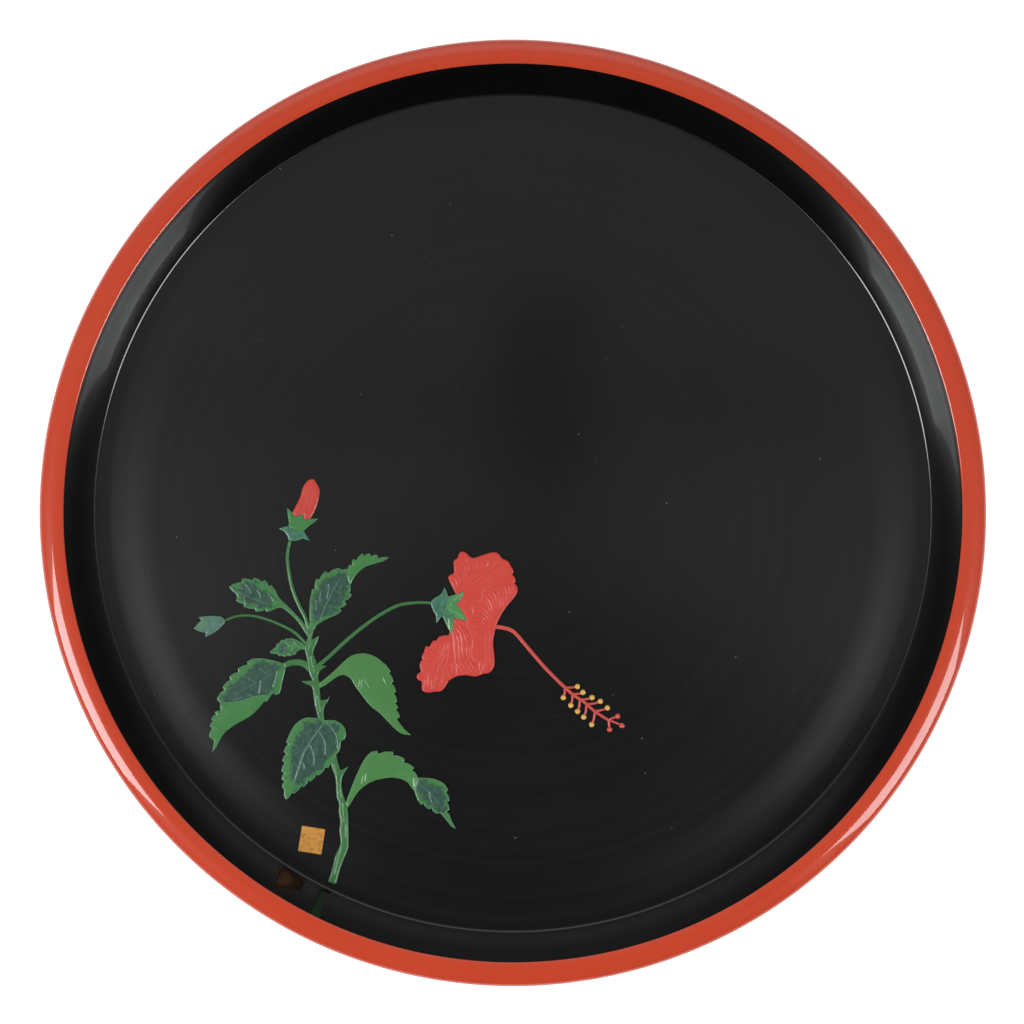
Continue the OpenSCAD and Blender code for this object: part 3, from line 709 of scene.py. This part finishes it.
def plate(node, edge_w, edge_h, swell=0.1, lines=(), seams=(), bright=(), margin=None, rough=0.04,
          grid=GRID, softness=3, seed=0.0, low_seams=1.0):
    """A relief piece on a CAD plate's outline. edge_w and edge_h round its edge, swell domes it
    and lines are carved in it. seams are its neighbours' outlines: its edge is rounded by
    low_seams of the rest there, and shows no margin. The margin along the rest of the outline,
    and the bright lines (points, width), take the main colour."""
    thick = side(node, 1, 2) - FLOOR_Z
    bm = relief_mesh()
    layers = [bm.verts.layers.float[name] for name in LAYERS]
    for raw in outlines(node):
        loop = even(closed(raw), STEP, 12, to_end=False)
        loop = spread_out(soften(loop, softness), OVERLAP)
        points = np.vstack([loop, face_points(loop, grid, lines)])
        depth = nearest(points, closed(loop))[0]
        depth[:len(loop)] = 0
        inner = np.clip(depth / edge_w, 0, 1)
        fall = np.full(len(points), edge_h)
        for seam in seams:
            near = np.clip(nearest(points, closed(seam))[0] / SEAM_W, 0, 1)
            fall = np.minimum(fall, edge_h * (low_seams + (1 - low_seams) * near))
        rise, vein_highlight = carved(points, lines)
        z = thick - fall * (1 - np.sqrt(1 - (1 - inner)**2))
        z += swell * (1 - np.exp(-depth / DOME_W)) - 0.6 * swell
        z += inner * (rough * ripple(points, SLOW, seed + 3.7) + rise)
        tone = main_tone(points, closed(loop), margin, seams, bright, seed)
        # painted glint along the outline, painted shade on the seal
        edge = np.clip(1 - depth / PAINTED_EDGE_W, 0, 1)
        verts = []
        for (x, y), height, values in zip(points, z, zip(tone, vein_highlight, edge)):
            vert = bm.verts.new((x, y, FLOOR_Z + height))
            for layer, value in zip(layers, values):
                vert[layer] = value
            verts.append(vert)
        ring = fill(bm, verts, points, len(loop))
        back = [bm.verts.new((x, y, FLOOR_Z - SUNK)) for x, y in loop]
        # the sides take the full painted edge glint
        for vert, value in zip(back, tone):
            vert[layers[0]] = value
            vert[layers[2]] = 1.0
        fill(bm, back, loop, len(loop))
        for i, j in ring:
            bm.faces.new((verts[i], back[i], back[j], verts[j]))
    return relief(node, bm)


def beads(node, high, seed=0):
    """A domed bead on each of a CAD node's dots, pressed a little out of round."""
    bm = relief_mesh()
    for k, loop in enumerate(outlines(node)):
        centre = (loop.min(0) + loop.max(0)) / 2
        radius = np.linalg.norm(loop - centre, axis=1).mean()
        lean = (math.sin(2.3 * k + seed), math.cos(1.7 * k))
        levels = [(0.97 * radius, FLOOR_Z - SUNK)] + [
            (radius * math.cos(turn) ** 0.85, FLOOR_Z + high * (0.35 + 0.65 * math.sin(turn)))
            for turn in np.linspace(0, math.pi / 2, 8)[:-1]
        ]
        rings = []
        for r, z in levels:
            ring = []
            for i in range(BEAD_AROUND):
                a = 2 * math.pi * i / BEAD_AROUND
                way = np.array([math.cos(a), math.sin(a)])
                out = 1 + 0.07 * np.dot(way, lean) + 0.03 * math.cos(3 * a + k)
                ring.append(bm.verts.new((*(centre + out * r * way), z)))
            rings.append(ring)
        for low, up in zip(rings, rings[1:]):
            for i in range(BEAD_AROUND):
                j = (i + 1) % BEAD_AROUND
                bm.faces.new((low[i], low[j], up[j], up[i]))
        crown = bm.verts.new((*centre, FLOOR_Z + high))
        for i in range(BEAD_AROUND):
            bm.faces.new((rings[-1][i], rings[-1][(i + 1) % BEAD_AROUND], crown))
        bm.faces.new(rings[0])
    return relief(node, bm)


# ---- finishes

BRIGHT_GREEN = srgb(72, 134, 74)
# paler colour of the painted highlight along carved lines
PALE_VEIN_HIGHLIGHT = srgb(128, 168, 146)

floor_black = black_floor()
wall_black = black_wall()
rim_red = vermilion()
base_red = underside_red()

# vein_highlight colours are painted highlights on carved lines and folds, edge colours painted
# glints along the rounded edges
stem_green = putty(
    "green_putty_stem", srgb(66, 123, 68), vein_highlight=srgb(106, 162, 110), edge=srgb(88, 142, 93),
)
bright_leaf = putty(
    "green_putty_bright", BRIGHT_GREEN, vein_highlight=srgb(110, 170, 112), edge=srgb(100, 155, 105),
    mottle=0.4,
)
dark_leaf = putty(
    "green_putty_dark", BRIGHT_GREEN, second=srgb(50, 79, 67), vein_highlight=PALE_VEIN_HIGHLIGHT,
    edge=srgb(120, 165, 130),
)
fresh_leaf = putty(
    "green_putty_fresh", srgb(80, 137, 75), vein_highlight=srgb(118, 178, 108), edge=srgb(110, 165, 108),
    mottle=0.35,
)
calyx_leaf = putty(
    "green_putty_calyx", srgb(84, 152, 84), second=srgb(62, 112, 88), vein_highlight=srgb(120, 180, 130),
    edge=srgb(112, 172, 118),
)
cup_leaf = putty(
    "green_putty_cup", srgb(84, 140, 104), second=srgb(62, 108, 88), vein_highlight=PALE_VEIN_HIGHLIGHT,
    edge=srgb(110, 160, 135),
)
bud_leaf = putty(
    "green_putty_bud", srgb(92, 138, 100), second=srgb(78, 112, 98), vein_highlight=PALE_VEIN_HIGHLIGHT,
    edge=srgb(128, 160, 142),
)
petal_red = putty(
    "red_putty_petal", srgb(217, 72, 60), vein_highlight=srgb(220, 82, 70), edge=srgb(219, 78, 66),
    mottle=0.2, gloss=0.42, coat=0.15,
)
bud_red = putty(
    "red_putty_bud", srgb(212, 74, 64), vein_highlight=srgb(216, 86, 76), edge=srgb(213, 82, 72), mottle=0.3,
)
thread_red = putty("red_putty_thread", srgb(218, 86, 80), edge=srgb(222, 98, 90), mottle=0.25)
pollen_yellow = putty("yellow_putty", srgb(240, 188, 92), mottle=0.35, gloss=0.42)
seal_ochre = worn_ochre()


# ---- the body

def coat_piece(node, section, finish):
    """A coat of lacquer, turned on its section. Its hidden back is cut three times as coarsely."""
    piece = lathe(node + "_coat", refine(section(0), CUT), refine(section(COAT), 3 * CUT))
    piece.data.materials.append(finish)
    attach(piece, ROOT)
    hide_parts(node)
    return piece


inside = coat_piece("inside_lacquer", inside_line, floor_black)
sway(inside, height=0.02, length=30)
inside.data.materials.append(wall_black)
for face in inside.data.polygons:
    if face.center.xy.length > (FLOOR_C[0] + 0.5 * FLOOR_ROUND) * MM:
        face.material_index = 1

outside = coat_piece("outside_lacquer", outside_line, rim_red)
sway(outside, height=0.04, length=24)

underside = coat_piece("underside_lacquer", underside_line, base_red)

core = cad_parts["wood_core"]
core.data.materials.clear()
core.data.materials.append(turned_wood())


# ---- the plant. Carved lines are points in millimetres on the floor

def groove(*points, w=0.13, h=-0.14):
    """A carved line: its points, its width and, below zero, its depth."""
    return points, w, h


def faint(*points, h=-0.05):
    """A faint, narrow groove."""
    return points, 0.11, h


def ridge(*points, w=0.27, h=0.072):
    """A raised fold: its points, its width and its height."""
    return points, w, h


def stuck(piece, node, slot, finish):
    """Gives a relief piece its finish and its place in the frame."""
    piece.data.materials.append(finish)
    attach(piece, ROOT)
    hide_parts(node)
    return piece


STEM_LINES = [
    groove((-66.1, -46.5), (-65.6, -49.3), (-64.9, -52.3)),
    groove((-64.6, -58.8), (-64.3, -62.5), (-63.8, -65.5), (-63.4, -67.3)),
    groove((-64, -59.5), (-63.3, -62.5), (-62.9, -65)),
    groove((-66.4, -40), (-66.3, -42.5), (-66.7, -45)),
]
LOWER_STEM_LINES = [
    groove((-56.4, -88), (-56.1, -93)),
    groove((-55.6, -94.5), (-55.4, -98.5), (-55.1, -101)),
    groove((-54.6, -101.5), (-54.6, -106)),
    groove((-56.2, -109), (-57, -113), (-58.2, -118)),
    groove((-58.6, -82), (-57.6, -85.5)),
]
LEFT_LEAF_LINES = [
    groove((-76.9, -51.5), (-77.3, -54), (-78.3, -57)),
    groove((-82.2, -54.5), (-82.5, -57), (-82.9, -59)),
    groove((-86.2, -59.1), (-84.8, -59.9)),
    groove((-88, -60), (-91.5, -61.1)),
    faint((-75.8, -52), (-80, -53.5), (-86, -56.5), (-92, -60.5)),
    faint((-79.5, -53.2), (-83, -50.5), h=-0.04),
    faint((-84, -55.4), (-87.5, -53), h=-0.04),
]
UPPER_LEFT_LINES = [
    groove((-87.3, -23.3), (-86.3, -24.7), (-85.5, -26.4)),
    groove((-83.6, -25.1), (-82.7, -26.5), (-82.4, -28)),
    groove((-79.8, -26.5), (-78.8, -27.8), (-78.3, -28.9)),
    groove((-90.5, -24), (-88, -24.8)),
    faint((-90.5, -25.6), (-86, -27.5), (-81.5, -29.2), (-77.5, -30.1)),
    faint((-87.5, -27), (-87.8, -28.9), h=-0.04),
    faint((-83, -28.7), (-83.6, -30.9), h=-0.04),
]
UPPER_RIGHT_LINES = [
    groove((-60.2, -23.2), (-60.2, -25.5), (-60.7, -28.2)),
    groove((-64.2, -28.4), (-64.3, -31.9)),
    groove((-62.7, -25.6), (-63.2, -29.3), h=-0.07),
    faint((-56, -20.5), (-60, -28), (-63.5, -36)),
    faint((-58.5, -25), (-55, -27.5), h=-0.04),
    faint((-60.8, -29.6), (-57.5, -31), h=-0.04),
]
RIGHT_LINES = [
    faint((-49.9, -54), (-50.3, -57), h=-0.08),
    faint((-49.2, -54.3), (-49.5, -57.6), h=-0.08),
    faint((-48.8, -54), (-47, -57), h=-0.08),
    faint((-42.6, -53.4), (-41.6, -55.9), h=-0.08),
]
CENTRE_LINES = [
    groove((-61.3, -68.2), (-63.5, -71), (-66, -74.6), (-68, -78), (-69.1, -81), (-69.8, -83.2),
         (-70.8, -86), (-70.9, -87.2), w=0.15, h=-0.17),
    groove((-61, -68.3), (-59.3, -70), (-57.8, -72.5), (-57.3, -75), (-57.3, -77), h=-0.15),
    groove((-63.3, -71.5), (-61.9, -73.6), (-61.3, -76), (-61.3, -79), h=-0.15),
    groove((-66.4, -75.6), (-65.3, -78), (-64.9, -80.5), (-65, -82.5), h=-0.15),
    groove((-69, -81.3), (-68.3, -82.3), (-68.2, -83.5)),
    faint((-67, -76.3), (-69.5, -77.6), (-71.7, -79.2)),
    faint((-64, -70.5), (-67.5, -71.7), (-70, -73)),
    faint((-70.8, -86.3), (-71.7, -88.2), h=-0.08),
]
LOWER_LEAF_LINES = [
    groove((-48.9, -85.6), (-49.4, -88.4), h=-0.1),
    groove((-48, -84.9), (-48.2, -87.9), h=-0.1),
    ridge((-32.3, -86.2), (-31.9, -89.6), w=0.3, h=0.12),
]
LOWER_TIP_LINES = [
    groove((-27.1, -90.8), (-27.2, -92.5), (-26.5, -94.4)),
    faint((-30.5, -88.3), (-27, -91.5), (-23.5, -95.5)),
]
SMALL_LEAF_LINES = [
    groove((-68, -44.2), (-72, -43.4), (-77.5, -45), h=-0.07),
    faint((-70.5, -43.5), (-71.8, -41.8), h=-0.06),
    faint((-73, -43.5), (-74.5, -42.1), h=-0.06),
    faint((-71.5, -43.7), (-72.5, -45.7), h=-0.06),
    faint((-74, -43.9), (-75, -45.9), h=-0.06),
]
BUD_LINES = [
    ridge((-70.5, 0.5), (-68.4, 5), (-66.6, 9)),
    ridge((-68.4, 0.6), (-67.2, 4.5), (-65.6, 9)),
    ridge((-66.6, 0.4), (-65.6, 4), (-64.6, 7.6)),
]
CUP_LINES = [
    groove((-21, -30.6), (-18.8, -28.2), (-17, -26.6), w=0.2, h=-0.09),
    groove((-21.4, -31.4), (-18.5, -32.6), (-16.2, -34.4), w=0.2, h=-0.09),
    ridge((-20.9, -34), (-20.6, -37), (-20.2, -39), w=0.2, h=0.1),
]

UPPER_PETAL_LINES = [
    ridge((-15.5, -25), (-9.7, -22.1), (-4.8, -18.2), (-2.4, -16.2)),
    ridge((-14.1, -25.7), (-7.7, -23), (-3.3, -19.9), (-1.2, -18)),
    ridge((-17, -23.5), (-12.1, -20.4), (-8.9, -17.2), (-7.6, -14.6)),
    ridge((-16, -24.4), (-11.2, -21.6), (-6.6, -17.2), (-5.2, -14.2)),
    ridge((-18.6, -18.6), (-18.5, -16.2), (-16.3, -14.6), (-14.3, -16.7), (-15.3, -20.1),
          (-16.6, -23.3)),
    ridge((-17.9, -17.9), (-16.4, -16.3), (-15.4, -18.2), (-16.4, -21)),
    ridge((-19.9, -20.6), (-18.5, -21.7), (-17.7, -24)),
    ridge((-19, -19.4), (-17.4, -20.8), (-16.9, -23)),
    ridge((-10.2, -17.9), (-11.9, -19.8)),
    ridge((-8.4, -15.9), (-8.8, -18.2)),
    ridge((-9.9, -15.8), (-10.1, -18)),
    ridge((-13.1, -20), (-15, -22)),
    ridge((-12.4, -16.2), (-12.8, -19)),
    ridge((-11.2, -15.6), (-11.5, -18.4), h=0.06),
    ridge((-1, -19.4), (-3.8, -20.5), (-7.7, -22.4)),
    ridge((-0.8, -21.3), (-3.6, -22)),
    ridge((-5, -14), (-4.6, -16.6)),
    ridge((-2.4, -17.2), (-4.8, -19.4), (-9, -22.6)),
]
FRONT_PETAL_LINES = [
    ridge((-9.6, -25.6), (-7.7, -25.3), (-5.7, -26.6), (-5.5, -29.6), (-5.2, -32.6),
          w=0.3, h=0.096),
    ridge((-9.2, -26.8), (-7.5, -28.6), (-6.7, -30.8), (-6.5, -33.6), w=0.3, h=0.096),
    ridge((-8.4, -26), (-6.6, -27.6), (-6, -30.2), (-5.9, -33)),
    ridge((-9.8, -28.2), (-8, -30), (-7.3, -32.2), (-6.9, -34.6), h=0.084),
    ridge((-12.5, -30.3), (-9.8, -30.8), (-8, -32.6), (-7, -34.9), w=0.3, h=0.096),
    ridge((-12.6, -31.6), (-10.2, -32), (-8.4, -33.6), (-7.2, -35.6), h=0.084),
    ridge((-7.2, -24.4), (-4.9, -25), (-4.1, -27.6), (-4.6, -31.2), h=0.084),
    ridge((-4.7, -23.8), (-3.2, -25.5), (-3, -27.6), (-3.8, -31.4)),
    ridge((-2.9, -23.6), (-2, -25.6), (-2.4, -29)),
    ridge((-1.4, -23.6), (-0.9, -25.6), (-1.4, -28)),
    ridge((-0.2, -23.8), (0.2, -25.4), (-0.4, -26.9)),
    ridge((-12.8, -33.2), (-10.4, -33.4), (-8.6, -35)),
    ridge((-13.6, -34.8), (-10.8, -34.9), (-8.8, -36.2)),
    ridge((-13.6, -36.6), (-9.3, -36.7)),
    ridge((-13.4, -38.4), (-9, -38.3)),
    ridge((-13, -40.1), (-9.4, -40)),
    ridge((-12.8, -41.7), (-9.3, -41.6)),
    ridge((-12.8, -43.4), (-9.4, -43.4)),
    ridge((-12.8, -45.2), (-9.3, -45)),
    ridge((-12.4, -47.9), (-9.3, -47.4)),
    ridge((-7.3, -38), (-7.6, -43), (-7.4, -49.6), h=0.06),
    ridge((-8.4, -37.4), (-8.9, -42), (-8.6, -50.6), h=0.066),
    ridge((-10.4, -48.4), (-11, -49.9), (-10.6, -52), w=0.3, h=0.096),
    ridge((-9.4, -49), (-9.7, -51.6)),
]
MIDDLE_PETAL_LINES = [
    ridge((-18.5, -34.6), (-16.3, -35.8), (-14.3, -37.1)),
    ridge((-18.5, -35.6), (-16.8, -37.3), (-14.8, -39.6), (-13.8, -41.1)),
    ridge((-18.3, -37.3), (-17, -39.1), (-16.5, -41.9), (-16.3, -45.1), (-16, -46.9),
          w=0.31, h=0.096),
    ridge((-18.4, -39.6), (-17.6, -41.6), (-17.4, -45.6), (-17.2, -48), w=0.31, h=0.096),
    ridge((-19.6, -38.4), (-18.9, -41.6), (-18.8, -45.6), (-18.6, -48.4), h=0.084),
    ridge((-17.4, -37), (-15.8, -39.4), (-15, -42.4), (-14.9, -45.6), (-14.2, -48.2), h=0.084),
    ridge((-14.7, -41), (-14.1, -44.4), (-13.5, -47.4)),
    ridge((-18.6, -48.9), (-17.4, -50.2), (-16, -52.2)),
    ridge((-17.2, -48.6), (-15.6, -50.4), (-14.4, -52.4)),
    ridge((-15.6, -48), (-14.4, -50), (-12.6, -52.4)),
    ridge((-13.9, -48.4), (-12.8, -50.2), (-11.6, -51.8)),
]
LOWER_PETAL_LINES = [
    ridge((-20.6, -40.6), (-20.8, -44.9), (-21.6, -48.1), (-22, -51)),
    ridge((-21.2, -41.4), (-22.2, -45.6), (-24, -49.6), (-25.6, -53), h=0.084),
    ridge((-21.9, -41.4), (-23.3, -45.6), (-25.6, -49.6), (-27.3, -53.1), (-27.5, -57), w=0.3),
    ridge((-22.8, -42), (-24.6, -46.6), (-27, -50.6), (-28.8, -53.4)),
    ridge((-28.6, -44.7), (-24.6, -45.1)),
    ridge((-29, -47.2), (-26.2, -47.5)),
    ridge((-26.6, -42.9), (-23.6, -42.9)),
    ridge((-29.8, -49.4), (-27.4, -50)),
    ridge((-28.6, -46), (-25.4, -46.4)),
    ridge((-24.4, -50.6), (-25, -53.6), (-26.2, -57.4)),
    ridge((-22.9, -50), (-22.8, -52.8), (-23.8, -56.8)),
    ridge((-21.2, -50.4), (-20.6, -53.4)),
    ridge((-19.9, -48.6), (-19.7, -52.6)),
    ridge((-26.4, -54.2), (-26.3, -57.6), w=0.3),
    ridge((-28.4, -54), (-28.7, -57), w=0.3, h=0.084),
    ridge((-30.6, -52.6), (-28.6, -52.4)),
]

LEAF = {"edge_w": 0.4, "edge_h": 0.4, "swell": 0.16, "softness": 1}
STEM = {"edge_w": 0.55, "edge_h": 0.6, "swell": 0.05, "rough": 0.05}
PETAL = {"edge_w": 0.5, "edge_h": 0.55, "swell": 0.14, "rough": 0.1, "low_seams": 0.2}
THREAD = {"edge_w": 0.3, "edge_h": 0.4, "swell": 0.0, "grid": 0.13, "rough": 0.02, "softness": 1}

GREEN = "bright_green_putty"
DEEP = "dark_green_putty"
RED = "red_putty"

# node, slot, finish and shape, then what plate is told besides. joins are the neighbours
PLANT = [
    ("stem_upper", GREEN, stem_green, STEM, {"lines": STEM_LINES}),
    ("stem_lower", GREEN, stem_green, STEM, {"lines": LOWER_STEM_LINES}),
    ("flower_stalk", GREEN, stem_green, STEM, {}),
    ("top_bud_stalk", GREEN, stem_green, STEM, {}),
    ("side_bud_stalk", GREEN, stem_green, STEM, {}),
    ("left_leaf_stalk", GREEN, stem_green, STEM, {}),
    ("upper_left_leaf", DEEP, dark_leaf, LEAF, {
        "lines": UPPER_LEFT_LINES, "margin": 1.1,
        "bright": [
            ([(-67, -39), (-72, -33.3), (-76.3, -29.6)], 2.2), ([(-77.6, -26), (-82, -23.4)], 1.3),
        ],
    }),
    ("upper_right_leaf", DEEP, dark_leaf, LEAF, {
        "lines": UPPER_RIGHT_LINES, "margin": 0.9, "joins": ["upper_right_leaf_tip"],
        "bright": [
            ([(-66, -38.4), (-64.6, -36.4)], 1.6), ([(-65.6, -26), (-63, -21.6), (-58, -19)], 1.1),
        ],
    }),
    ("upper_right_leaf_tip", GREEN, bright_leaf, LEAF, {}),
    ("small_left_leaf", GREEN, dark_leaf, LEAF, {
        "lines": SMALL_LEAF_LINES, "margin": 0.8, "bright": [([(-67, -44), (-72.5, -43.2)], 1.4)],
    }),
    ("left_leaf", DEEP, dark_leaf, LEAF, {
        "lines": LEFT_LEAF_LINES, "margin": 1.0, "joins": ["left_leaf_fold"],
        "bright": [([(-76.4, -58), (-75.2, -52.5)], 1.7), ([(-85, -48.6), (-92, -54.3)], 1.4)],
    }),
    ("left_leaf_fold", GREEN, bright_leaf, LEAF, {}),
    ("right_leaf", GREEN, fresh_leaf, LEAF, {"lines": RIGHT_LINES}),
    ("centre_leaf", DEEP, dark_leaf, LEAF, {
        "lines": CENTRE_LINES, "margin": 1.0,
        "bright": [
            ([(-70, -69), (-73.4, -75), (-74.2, -81), (-74.2, -89), (-73.8, -92.4)], 1.8),
            ([(-55.9, -73), (-55.4, -70.6)], 1.5), ([(-73, -89.4), (-73.9, -92.6)], 2.2),
            ([(-58.4, -80.2), (-60.6, -82.4)], 1.2),
        ],
    }),
    ("lower_leaf", GREEN, fresh_leaf, LEAF, {"lines": LOWER_LEAF_LINES}),
    ("lower_leaf_tip", DEEP, dark_leaf, LEAF, {
        "lines": LOWER_TIP_LINES, "margin": 0.8, "joins": ["lower_leaf"],
        "bright": [
            ([(-27, -87), (-22.8, -88.6), (-21.6, -90.6)], 1.2), ([(-21.4, -99), (-19, -103)], 1.6),
            ([(-31.2, -92.4), (-29.4, -95)], 1.1),
        ],
    }),
    ("side_bud", DEEP, bud_leaf, LEAF, {
        "margin": 0.4, "bright": [([(-100.6, -36), (-103.6, -37.6)], 1.4)],
    }),
    ("top_bud_petals", RED, bud_red, PETAL, {"lines": BUD_LINES}),
    ("top_bud_calyx", GREEN, bright_leaf, LEAF, {}),
    ("top_bud_epicalyx", DEEP, cup_leaf, LEAF, {"margin": 0.5}),
    ("upper_petal", RED, petal_red, PETAL, {
        "lines": UPPER_PETAL_LINES, "joins": ["front_petal", "middle_petal"],
    }),
    ("front_petal", RED, petal_red, PETAL, {
        "lines": FRONT_PETAL_LINES, "joins": ["upper_petal", "middle_petal"],
    }),
    ("middle_petal", RED, petal_red, PETAL, {
        "lines": MIDDLE_PETAL_LINES, "joins": ["upper_petal", "front_petal", "lower_petal"],
    }),
    ("lower_petal", RED, petal_red, PETAL, {"lines": LOWER_PETAL_LINES, "joins": ["middle_petal"]}),
    ("flower_calyx", GREEN, calyx_leaf, LEAF, {
        "lines": CUP_LINES, "bright": [
            ([(-19, -27.6), (-15.6, -25.4)], 1.5), ([(-18, -33), (-14.4, -35.8)], 1.6),
            ([(-20.6, -35.6), (-20, -39.6)], 1.2), ([(-19.6, -31), (-17.4, -31.6)], 2.2),
        ],
    }),
    ("flower_epicalyx", DEEP, cup_leaf, LEAF, {"margin": 0.5}),
    ("stamen_column", RED, thread_red, STEM, {}),
    ("filaments", RED, thread_red, THREAD, {}),
    ("styles", RED, thread_red, THREAD, {}),
    ("seal_plate", "ochre_putty", seal_ochre, LEAF, {"edge_w": 0.3, "edge_h": 0.15, "swell": 0.0}),
]

for number, (node, slot, finish, shape, detail) in enumerate(PLANT):
    told = shape | detail
    seams = [loop for other in told.pop("joins", []) for loop in outlines(other)]
    stuck(plate(node, seams=seams, seed=1.7 * number, **told), node, slot, finish)

stuck(beads("anthers", high=1.15), "anthers", "yellow_putty", pollen_yellow)
stuck(beads("stigmas", high=1.1, seed=20), "stigmas", RED, thread_red)


# ---- the studio: pale paper, two softboxes, dim air and a camera straight above, in metres

PAPER = 12.0            # width of the paper
LAMP_AWAY = 1.6         # from the tray to a softbox
LAMP_UP = 42            # a softbox's elevation in degrees
LAMP_LONG = 1.0
COOL_WHITE = (0.95, 0.98, 1.0)
LENS = 70               # in millimetres, like the sensor's width
SENSOR = 36
SHARE = 0.9245          # share of the picture's width that the rim takes
OFF_AXIS = (-0.3, 0.3)  # millimetres that the camera stands off the tray's axis


def softbox(name, azimuth, width, power):
    """A rectangular lamp that faces the tray, unseen by the camera."""
    data = bpy.data.lights.new(name, "AREA")
    data.shape = "RECTANGLE"
    data.size = width
    data.size_y = LAMP_LONG
    data.energy = power
    data.color = COOL_WHITE
    lamp = placed(name, data)
    lamp.location = LAMP_AWAY * by_degrees(cos(LAMP_UP), azimuth, sin(LAMP_UP))
    lamp.rotation_euler = lamp.location.to_track_quat("Z", "Y").to_euler()
    lamp.visible_camera = False


def grey(level):
    return (level, level, level, 1)


def pale_floor():
    """White paper that glows a little, so that it stays white but lights the tray weakly."""
    bm = bmesh.new()
    bmesh.ops.create_grid(bm, x_segments=40, y_segments=40, size=PAPER / 2 / MM)
    floor = mesh_object("studio_floor", bm)
    f = Finish("studio_paper", roughness=0.9, emission_color=grey(1), emission_strength=0.95)
    f.drive("Base Color", f.mix(f.noise(3.0, 2), grey(0.36), grey(0.4)))
    floor.data.materials.append(f.material)


def studio_air():
    """Dim light from overhead, brighter on the far side and darker behind the camera's stand."""
    world = bpy.data.worlds.new("studio")
    scene.world = world
    world.use_nodes = True
    tree = world.node_tree
    f = Patterns(tree, "Generated")
    way = add(tree, "SeparateXYZ", {0: f.place})
    x, y, z = (way.outputs[k] for k in "XYZ")

    def band(value, centre, inner, outer):
        gap = f.math("ABSOLUTE", f.math("SUBTRACT", value, centre), 0.0)
        return f.spread(gap, outer, inner)

    def less(light, mask, by):
        return f.times(light, f.math("SUBTRACT", 1.0, f.times(mask, by)))

    slant = f.math("ADD", y, f.times(f.math("ABSOLUTE", x, 0.0), 0.5))
    light = f.spread(slant, -0.06, 0.03, 0.015, 0.24)
    far_side = f.times(f.spread(y, 0.42, 0.72, 0.0, 0.8), f.spread(z, 0.1, 0.4, 0.08, 1.0))
    light = f.math("ADD", light, far_side)
    post = f.times(band(x, 0.017, 0.008, 0.04), band(y, 0.058, 0.02, 0.075))
    beam = f.times(band(y, 0.055, 0.01, 0.035), band(x, 0.0, 0.1, 0.25))
    light = less(less(light, post, 0.95), beam, 0.3)
    air = tree.nodes["Background"]
    air.inputs["Color"].default_value = grey(1)
    tree.links.new(light, air.inputs["Strength"])
    pale = add(tree, "Background", {"Color": grey(0.95), "Strength": 1.0})
    seen = add(tree, "LightPath").outputs["Is Camera Ray"]
    mixed = add(tree, "MixShader", {0: seen, 1: air.outputs[0], 2: pale.outputs[0]})
    tree.links.new(mixed.outputs[0], tree.nodes["World Output"].inputs["Surface"])


def camera_above():
    """A camera over the tray, at the height where the rim fills its share of the picture."""
    data = bpy.data.cameras.new("camera")
    data.lens = LENS
    data.sensor_width = SENSOR
    scene.camera = placed("camera", data)
    above = 2 * OUTER_R / SHARE * LENS / SENSOR
    scene.camera.location = MM * Vector((*OFF_AXIS, HEIGHT - RIM_DROP + above))


pale_floor()
studio_air()
softbox("softbox_left", azimuth=203, width=0.58, power=22)
softbox("softbox_right", azimuth=330, width=0.56, power=17)
camera_above()
scene.view_settings.view_transform = "Standard"
